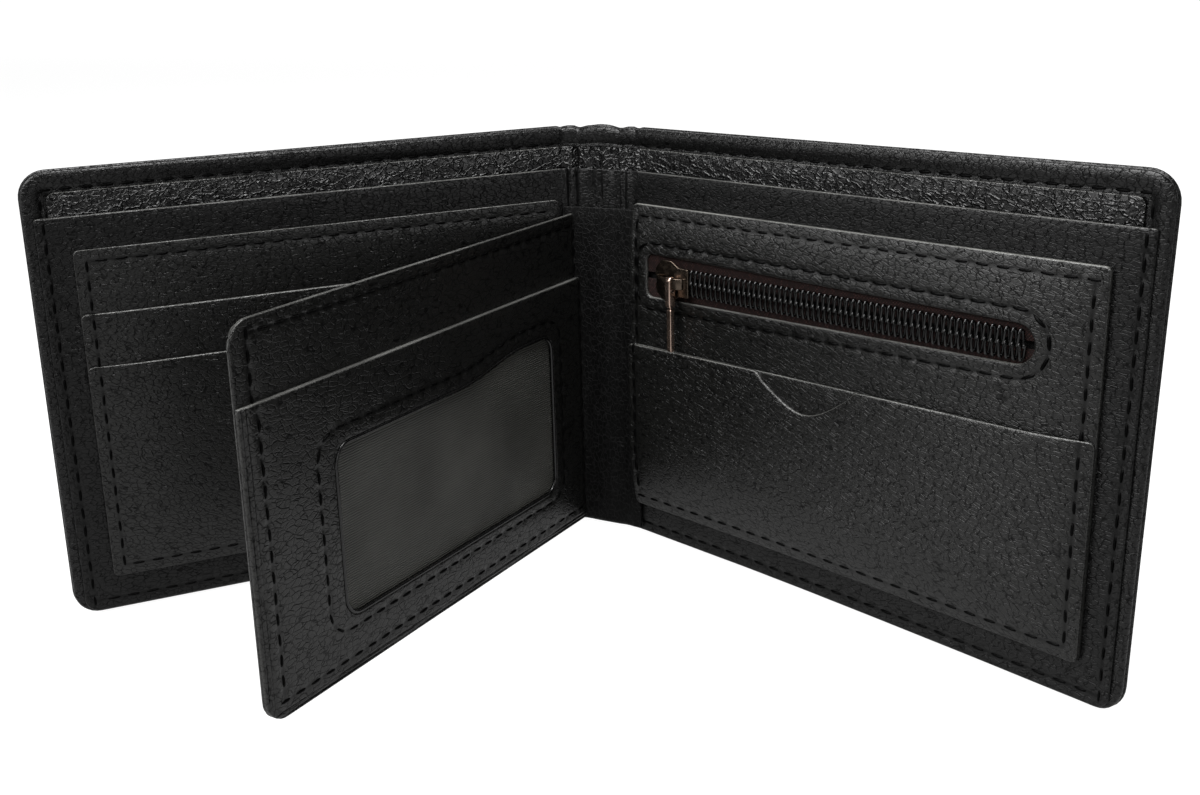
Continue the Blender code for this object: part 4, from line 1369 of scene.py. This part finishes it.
PULL_LENGTH = 15.3 * MM
EYE_LENGTH = 5.4 * MM
EYE_HALF = 1.0 * MM
EYE_WIDTH = 1.4 * MM
BAR_HALF = 0.62 * MM
BAR_WIDTH = 1.2 * MM


HOLE_RADIUS = 0.62 * MM
WAIST_HALF = 0.42 * MM


def pull_plate(name, outline, width, bevel, hole=None, nodes=()):
    """A part of the pull: its side view in w and v, given its width along u, with a hole through it."""
    piece = solid(name, outline, -width / 2, width / 2, bevel)
    if hole:
        cut(piece, slab("cutter", hole, -2 * MM, 2 * MM))
    piece.data.transform(SWAP_U_W)
    piece.data.flip_normals()
    finish(piece, PULL, METAL, "zip_pull", nodes, smooth=40)


outline = arc((0, 0.4 * MM), EYE_HALF, 0, 180, 12)
outline += [(-EYE_HALF, -EYE_LENGTH + 0.5 * MM), (-BAR_HALF, -EYE_LENGTH), (BAR_HALF, -EYE_LENGTH),
            (EYE_HALF, -EYE_LENGTH + 0.5 * MM)]
hole = arc((0, 0), HOLE_RADIUS, 0, 180, 10)
hole += arc((0, -STRAP_HALF - 0.4 * MM), HOLE_RADIUS, 180, 360, 10)
pull_plate("pull_eye", outline, EYE_WIDTH, 0.3 * MM, hole, ("pull_tab",))
waist = EYE_LENGTH + 0.35 * MM
pull_plate("pull_waist", [(-WAIST_HALF, -waist - 0.2 * MM), (WAIST_HALF, -waist - 0.2 * MM),
                          (WAIST_HALF, -EYE_LENGTH + 0.3 * MM), (-WAIST_HALF, -EYE_LENGTH + 0.3 * MM)],
           0.8 * MM, 0.1 * MM)
outline = [(BAR_HALF, -waist - 0.25 * MM), (BAR_HALF - 0.2 * MM, -waist), (-BAR_HALF + 0.2 * MM, -waist),
           (-BAR_HALF, -waist - 0.25 * MM)] + arc((0, BAR_HALF - PULL_LENGTH), BAR_HALF, 180, 360, 10)
pull_plate("pull_bar", outline, BAR_WIDTH, 0.24 * MM)

# The flip wing. Its leather runs on past its crease, into the fold beside the gusset.

WING_SEAM = 2.6 * MM
WING_SIDE_SEAM = 4.1 * MM
WING_FOOT_SEAM = 3.6 * MM
WING_CORNER = 5 * MM
WING_TAIL = -7.3 * MM
WING_TAIL_SEAM = -3.6 * MM
WING_JOIN = 0.6 * MM
WINDOW_NEAR = 8 * MM
WINDOW_FAR = 81 * MM
WINDOW_FOOT = 12.6 * MM
WINDOW_LOW = 47.3 * MM
WINDOW_RISE = 3.1 * MM
WAVE_CENTRE = 31 * MM
WAVE_LENGTH = 26 * MM
WAVE_STEPS = 24
WINDOW_CORNER = 4 * MM


def window_outline(margin, foot_margin=None, far_margin=None):
    """The window's outline, widened; its top edge steps up in one soft wave."""
    near_end = WINDOW_NEAR - margin
    far = WINDOW_FAR + (margin if far_margin is None else far_margin)
    foot = WINDOW_FOOT - (margin if foot_margin is None else foot_margin)
    low = WINDOW_LOW + margin
    high = low + WINDOW_RISE
    radius = WINDOW_CORNER + margin / 2
    points = arc((near_end + radius, foot + radius), radius, 180, 270)
    points += arc((far - radius, foot + radius), radius, 270, 360)
    points += arc((far - radius, low - radius), radius, 0, 90)
    for step in range(WAVE_STEPS + 1):
        share = step / WAVE_STEPS
        u = WAVE_CENTRE + WAVE_LENGTH * (1 / 2 - share)
        points.append((u, low + WINDOW_RISE * (1 - math.cos(math.pi * share)) / 2))
    points += arc((near_end + radius, high - radius), radius, 90, 180)
    return points


back_low, back_high = reach("wing_back", WING)
card_low = reach("wing_card_panel", WING)[0]
film_low, film_high = reach("wing_window_film", WING)
front_high = reach("wing_window_panel", WING)[1]
WING_WIDTH = back_high[0]
WING_TOP = back_high[1]
WING_FOOT = back_low[1]
WING_SLOT = front_high[1]
window_seam = window_outline(3.1 * MM, 2.2 * MM, 4.5 * MM)
window_seam.append(window_seam[0])
CARD_FACE = film_high[2] - 0.4 * MM


def wing_level(u, v):
    """The level of the wing's face, on which its thread lies."""
    return CARD_FACE if v > WING_SLOT else front_high[2]


WING_MIDDLE = (back_low[2] + front_high[2]) / 2
ROLL_REACH = 2.6 * MM
ROLL_LEFT = 0.45
ROLL_STEPS = (0.25 * MM, 0.5 * MM, 0.8 * MM, 1.1 * MM, 1.4 * MM, 1.75 * MM, 2.1 * MM)

# The creases along the rolled edges: where each lies, how deep it is and its phase; then how wide they
# are and how they wander.
ROLL_CREASES = ((0.8 * MM, 0.3, 0.0), (1.75 * MM, 0.22, 2.0))
ROLL_CREASE_WIDTH = 0.22 * MM
WANDER = 0.12 * MM
WANDER_RUN = 6 * MM


def rolled(u, v):
    """How much of the wing's thickness is left beside its edges, which are rolled and pressed."""
    inside = np.minimum(np.minimum(WING_WIDTH - u, WING_TOP - v), v - WING_FOOT)
    outward = 1 - np.clip(inside / ROLL_REACH, 0, 1)
    left = ROLL_LEFT + (1 - ROLL_LEFT) * np.sqrt(1 - outward ** 2)
    for place, depth, phase in ROLL_CREASES:
        wander = WANDER * np.sin((u + v) / WANDER_RUN + phase)
        left = left - depth * np.exp(-((inside - place - wander) / ROLL_CREASE_WIDTH) ** 2)
    return left


# The wing's tail runs from the left half at one end to the wing at the other. These bodies and places
# are handed on with it, but the tail is only baked where it is laid.
tail_bend = ("left_half", "id_wing", WING @ Vector((WING_TAIL * 0.75, 0, 0)),
             WING @ Vector((WING_JOIN, 0, 0)))
far, top, foot = WING_WIDTH - WING_SIDE_SEAM, WING_TOP - WING_SEAM, WING_FOOT + WING_FOOT_SEAM
wing_seam = [(WING_TAIL_SEAM, top), (far, top), (far, foot), (WING_TAIL_SEAM, foot), (WING_TAIL_SEAM, top)]


def wing_layer(name, top, top_corner, back, face, seams, edge, seed, node, tail_node=(), over=False,
               opening=None):
    """A layer of the wing and its tail: one leather, cut where the wing's own body begins."""
    plane = WING @ TURN_OVER if over else WING
    outline = rounded(WING_TAIL, WING_WIDTH, WING_FOOT, top, 0.5 * MM, WING_CORNER, top_corner)
    roll_lines = [(axis, place + inward * step) for step in ROLL_STEPS
                  for axis, place, inward in ((0, WING_WIDTH, -1), (1, WING_FOOT, 1), (1, WING_TOP, -1))
                  if axis == 0 or place < top + step]
    for part, body, nodes in (("far", "id_wing", node), ("near", tail_bend, tail_node)):
        label = name if part == "far" else name.replace("wing_", "wing_tail_")
        panel = leather_panel(label, outline, back, face, seams, opening=opening, edge=edge, seed=seed,
                              part=(WING_JOIN, part), lines=roll_lines)
        middle = WING_MIDDLE * (-1 if over else 1)
        remap(panel, lambda u, v, w: (u, v, middle + (w - middle) * rolled(u, v)))
        finish(panel, plane, WING_LEATHER, body, nodes)


def wing_sew(name, path, level, over=False):
    """A seam of the wing, whose inner stitches ride on the tail."""
    plane = WING @ TURN_OVER if over else WING
    sew(name, path, level, plane, "id_wing", only=lambda u, v: u > WING_JOIN)
    sew(name.replace("wing_", "wing_tail_"), path, level, plane, tail_bend,
        only=lambda u, v: u <= WING_JOIN)


wing_layer("wing_back_leather", WING_TOP, WING_CORNER, -card_low[2] - 0.1 * MM, -back_low[2],
           [wing_seam], 0.35 * MM, 0.2, ("wing_back",), ("wing_hinge_tab",), over=True)
wing_sew("wing_back_thread", wing_seam, -back_low[2], over=True)
wing_layer("wing_card_leather", WING_TOP, WING_CORNER, card_low[2], CARD_FACE, [wing_seam], 0.45 * MM,
           1.2, ("wing_card_panel",))
film = leather_panel("wing_film_sheet", rounded(film_low[0], film_high[0], film_low[1], film_high[1],
                                                1.6 * MM, 1.6 * MM),
                     film_high[2] - 0.3 * MM, film_high[2], edge=0.05 * MM, spacing=4 * MM,
                     wave=0.1 * MM, seed=2.6)
lay_flat_map(film)
finish(film, WING, FILM, "id_wing", ("wing_window_film",))
wing_layer("wing_window_leather", WING_SLOT, 0.4 * MM, CARD_FACE - 0.1 * MM, front_high[2],
           [wing_seam, window_seam], 0.45 * MM, 0.9, ("wing_window_panel",), opening=window_outline(0))
bead = tube("wing_window_rim", [(u, v, front_high[2] - 0.22 * MM) for u, v in window_outline(-0.25 * MM)],
            0.42 * MM, closed=True)
finish(bead, WING, EDGE_PAINT, "id_wing", smooth=60)
wing_sew("wing_thread", wing_seam, wing_level)
sew("window_thread", window_seam, front_high[2], WING, "id_wing")

# The table, the lamps and the camera.

mode("OBJECT")
FLOOR_SIZE = 40


def floor_material():
    """Matt white paper sweep, lit to white where nothing shades it; in reflections it glows round the
    wallet.
    """
    made, tree, shader = blank_material("white_paper")
    rays = add(tree, "LightPath").outputs
    seen = calc(tree, "MAXIMUM", rays["Is Camera Ray"], rays["Is Transmission Ray"])
    away = add(tree, "VectorMath", {0: add(tree, "TexCoord").outputs["Object"]},
               operation="LENGTH").outputs["Value"]
    # Painted reflection: seen only in glossy rays, the floor glows brightest near the wallet and fades
    # outwards.
    mirrored = calc(tree, "MULTIPLY", rays["Is Glossy Ray"], ramp(tree, away, 0.06, 0.5, 0.34, 0.05))
    fill(tree, shader, {"Base Color": (0.2, 0.2, 0.2, 1), "Roughness": 1.0, "Specular IOR Level": 0.0,
                        "Emission Color": (1, 1, 1, 1),
                        "Emission Strength": calc(tree, "MULTIPLY_ADD", seen, 0.97, mirrored)})
    return made


bpy.ops.mesh.primitive_plane_add(size=FLOOR_SIZE, location=(0, 0, -0.1 * MM))
floor = bpy.context.object
floor.name = "paper_floor"
floor.data.materials.append(floor_material())

world = bpy.data.worlds.new("white_studio")
world.use_nodes = True
bpy.context.scene.world = world
tree = world.node_tree
background = tree.nodes["Background"]
# The world is white to the camera and in what mirrors it, and lights the wallet only from behind.
heading = add(tree, "SeparateXYZ", {"Vector": add(tree, "TexCoord").outputs["Generated"]}).outputs["Y"]
behind = ramp(tree, heading, 0.05, 0.5, 0.04, 1.0)
rays = add(tree, "LightPath").outputs
seen = calc(tree, "MAXIMUM", rays["Is Camera Ray"], rays["Is Glossy Ray"])
seen = calc(tree, "MAXIMUM", seen, rays["Is Transmission Ray"])
fill(tree, background, {"Color": (1, 1, 1, 1), "Strength": calc(tree, "MAXIMUM", seen, behind)})


def lamp(name, place, target, width, height, power):
    """A softbox that faces a target."""
    data = bpy.data.lights.new(name, "AREA")
    data.shape = "RECTANGLE"
    data.size = width
    data.size_y = height
    data.energy = power
    light = bpy.data.objects.new(name, data)
    bpy.context.scene.collection.objects.link(light)
    light.location = place
    light.rotation_euler = (Vector(target) - Vector(place)).to_track_quat("-Z", "Y").to_euler()
    return light


# A dark room, open along the foot of its back wall: the leather mirrors white only from there and
# from the table.
ROOM_OPENING = 0.36
bpy.ops.mesh.primitive_cube_add(size=1, location=(0, -1, 1.2), scale=(10, 6, 2.5))
room = bpy.context.object
room.name = "dark_room"
bpy.ops.object.transform_apply(location=True, rotation=True, scale=True)
mode("EDIT")
slice_at(2, ROOM_OPENING)
pick(room, lambda middle, normal: normal.z < -0.9 or (normal.y > 0.9 and middle.z < ROOM_OPENING))
bpy.ops.mesh.delete(type="FACE")
mode("OBJECT")
room_material, room_tree, room_shader = blank_material("dark_wall_paint")
fill(room_tree, room_shader, {"Base Color": (0.05, 0.05, 0.05, 1), "Roughness": 1.0})
room.data.materials.append(room_material)
room.visible_camera = False
room.visible_transmission = False

lamp("overhead_softbox", (0, -0.04, 0.55), (0, 0.02, 0.05), 0.5, 0.18, 4.0)
lamp("back_softbox", (0, 0.9, 0.55), (0, 0.02, 0.05), 1.3, 0.4, 3.0)
lamp("front_softbox", (-0.25, -0.75, 0.85), (0, 0.02, 0.03), 0.8, 0.6, 12.0)
lamp("front_left_softbox", (-0.7, -0.6, 0.24), (0.02, 0.02, 0.03), 0.6, 0.4, 2.0)
lamp("right_softbox", (0.8, -0.3, 0.2), (-0.03, 0, 0.03), 0.5, 0.35, 1.0)

camera_data = bpy.data.cameras.new("photo_camera")
camera_data.sensor_width = CAMERA_SENSOR
camera_data.lens = CAMERA_LENS
camera_data.shift_x = PRINCIPAL_SHIFT_X / PHOTO_WIDTH
camera_data.shift_y = PRINCIPAL_SHIFT_Y / PHOTO_WIDTH
camera_data.clip_start = 0.01
camera = bpy.data.objects.new("photo_camera", camera_data)
bpy.context.scene.collection.objects.link(camera)
camera_place = Vector(spine_middle) + Vector((CAMERA_RIGHT, -CAMERA_BEHIND, CAMERA_HEIGHT))
camera.matrix_world = (Matrix.Translation(camera_place) @ Matrix.Rotation(CAMERA_HEADING, 4, "Z")
                       @ Matrix.Rotation(math.pi / 2 - CAMERA_DIP, 4, "X")
                       @ Matrix.Rotation(CAMERA_ROLL, 4, "Z"))
scene = bpy.context.scene
scene.camera = camera
scene.view_settings.view_transform = "Standard"
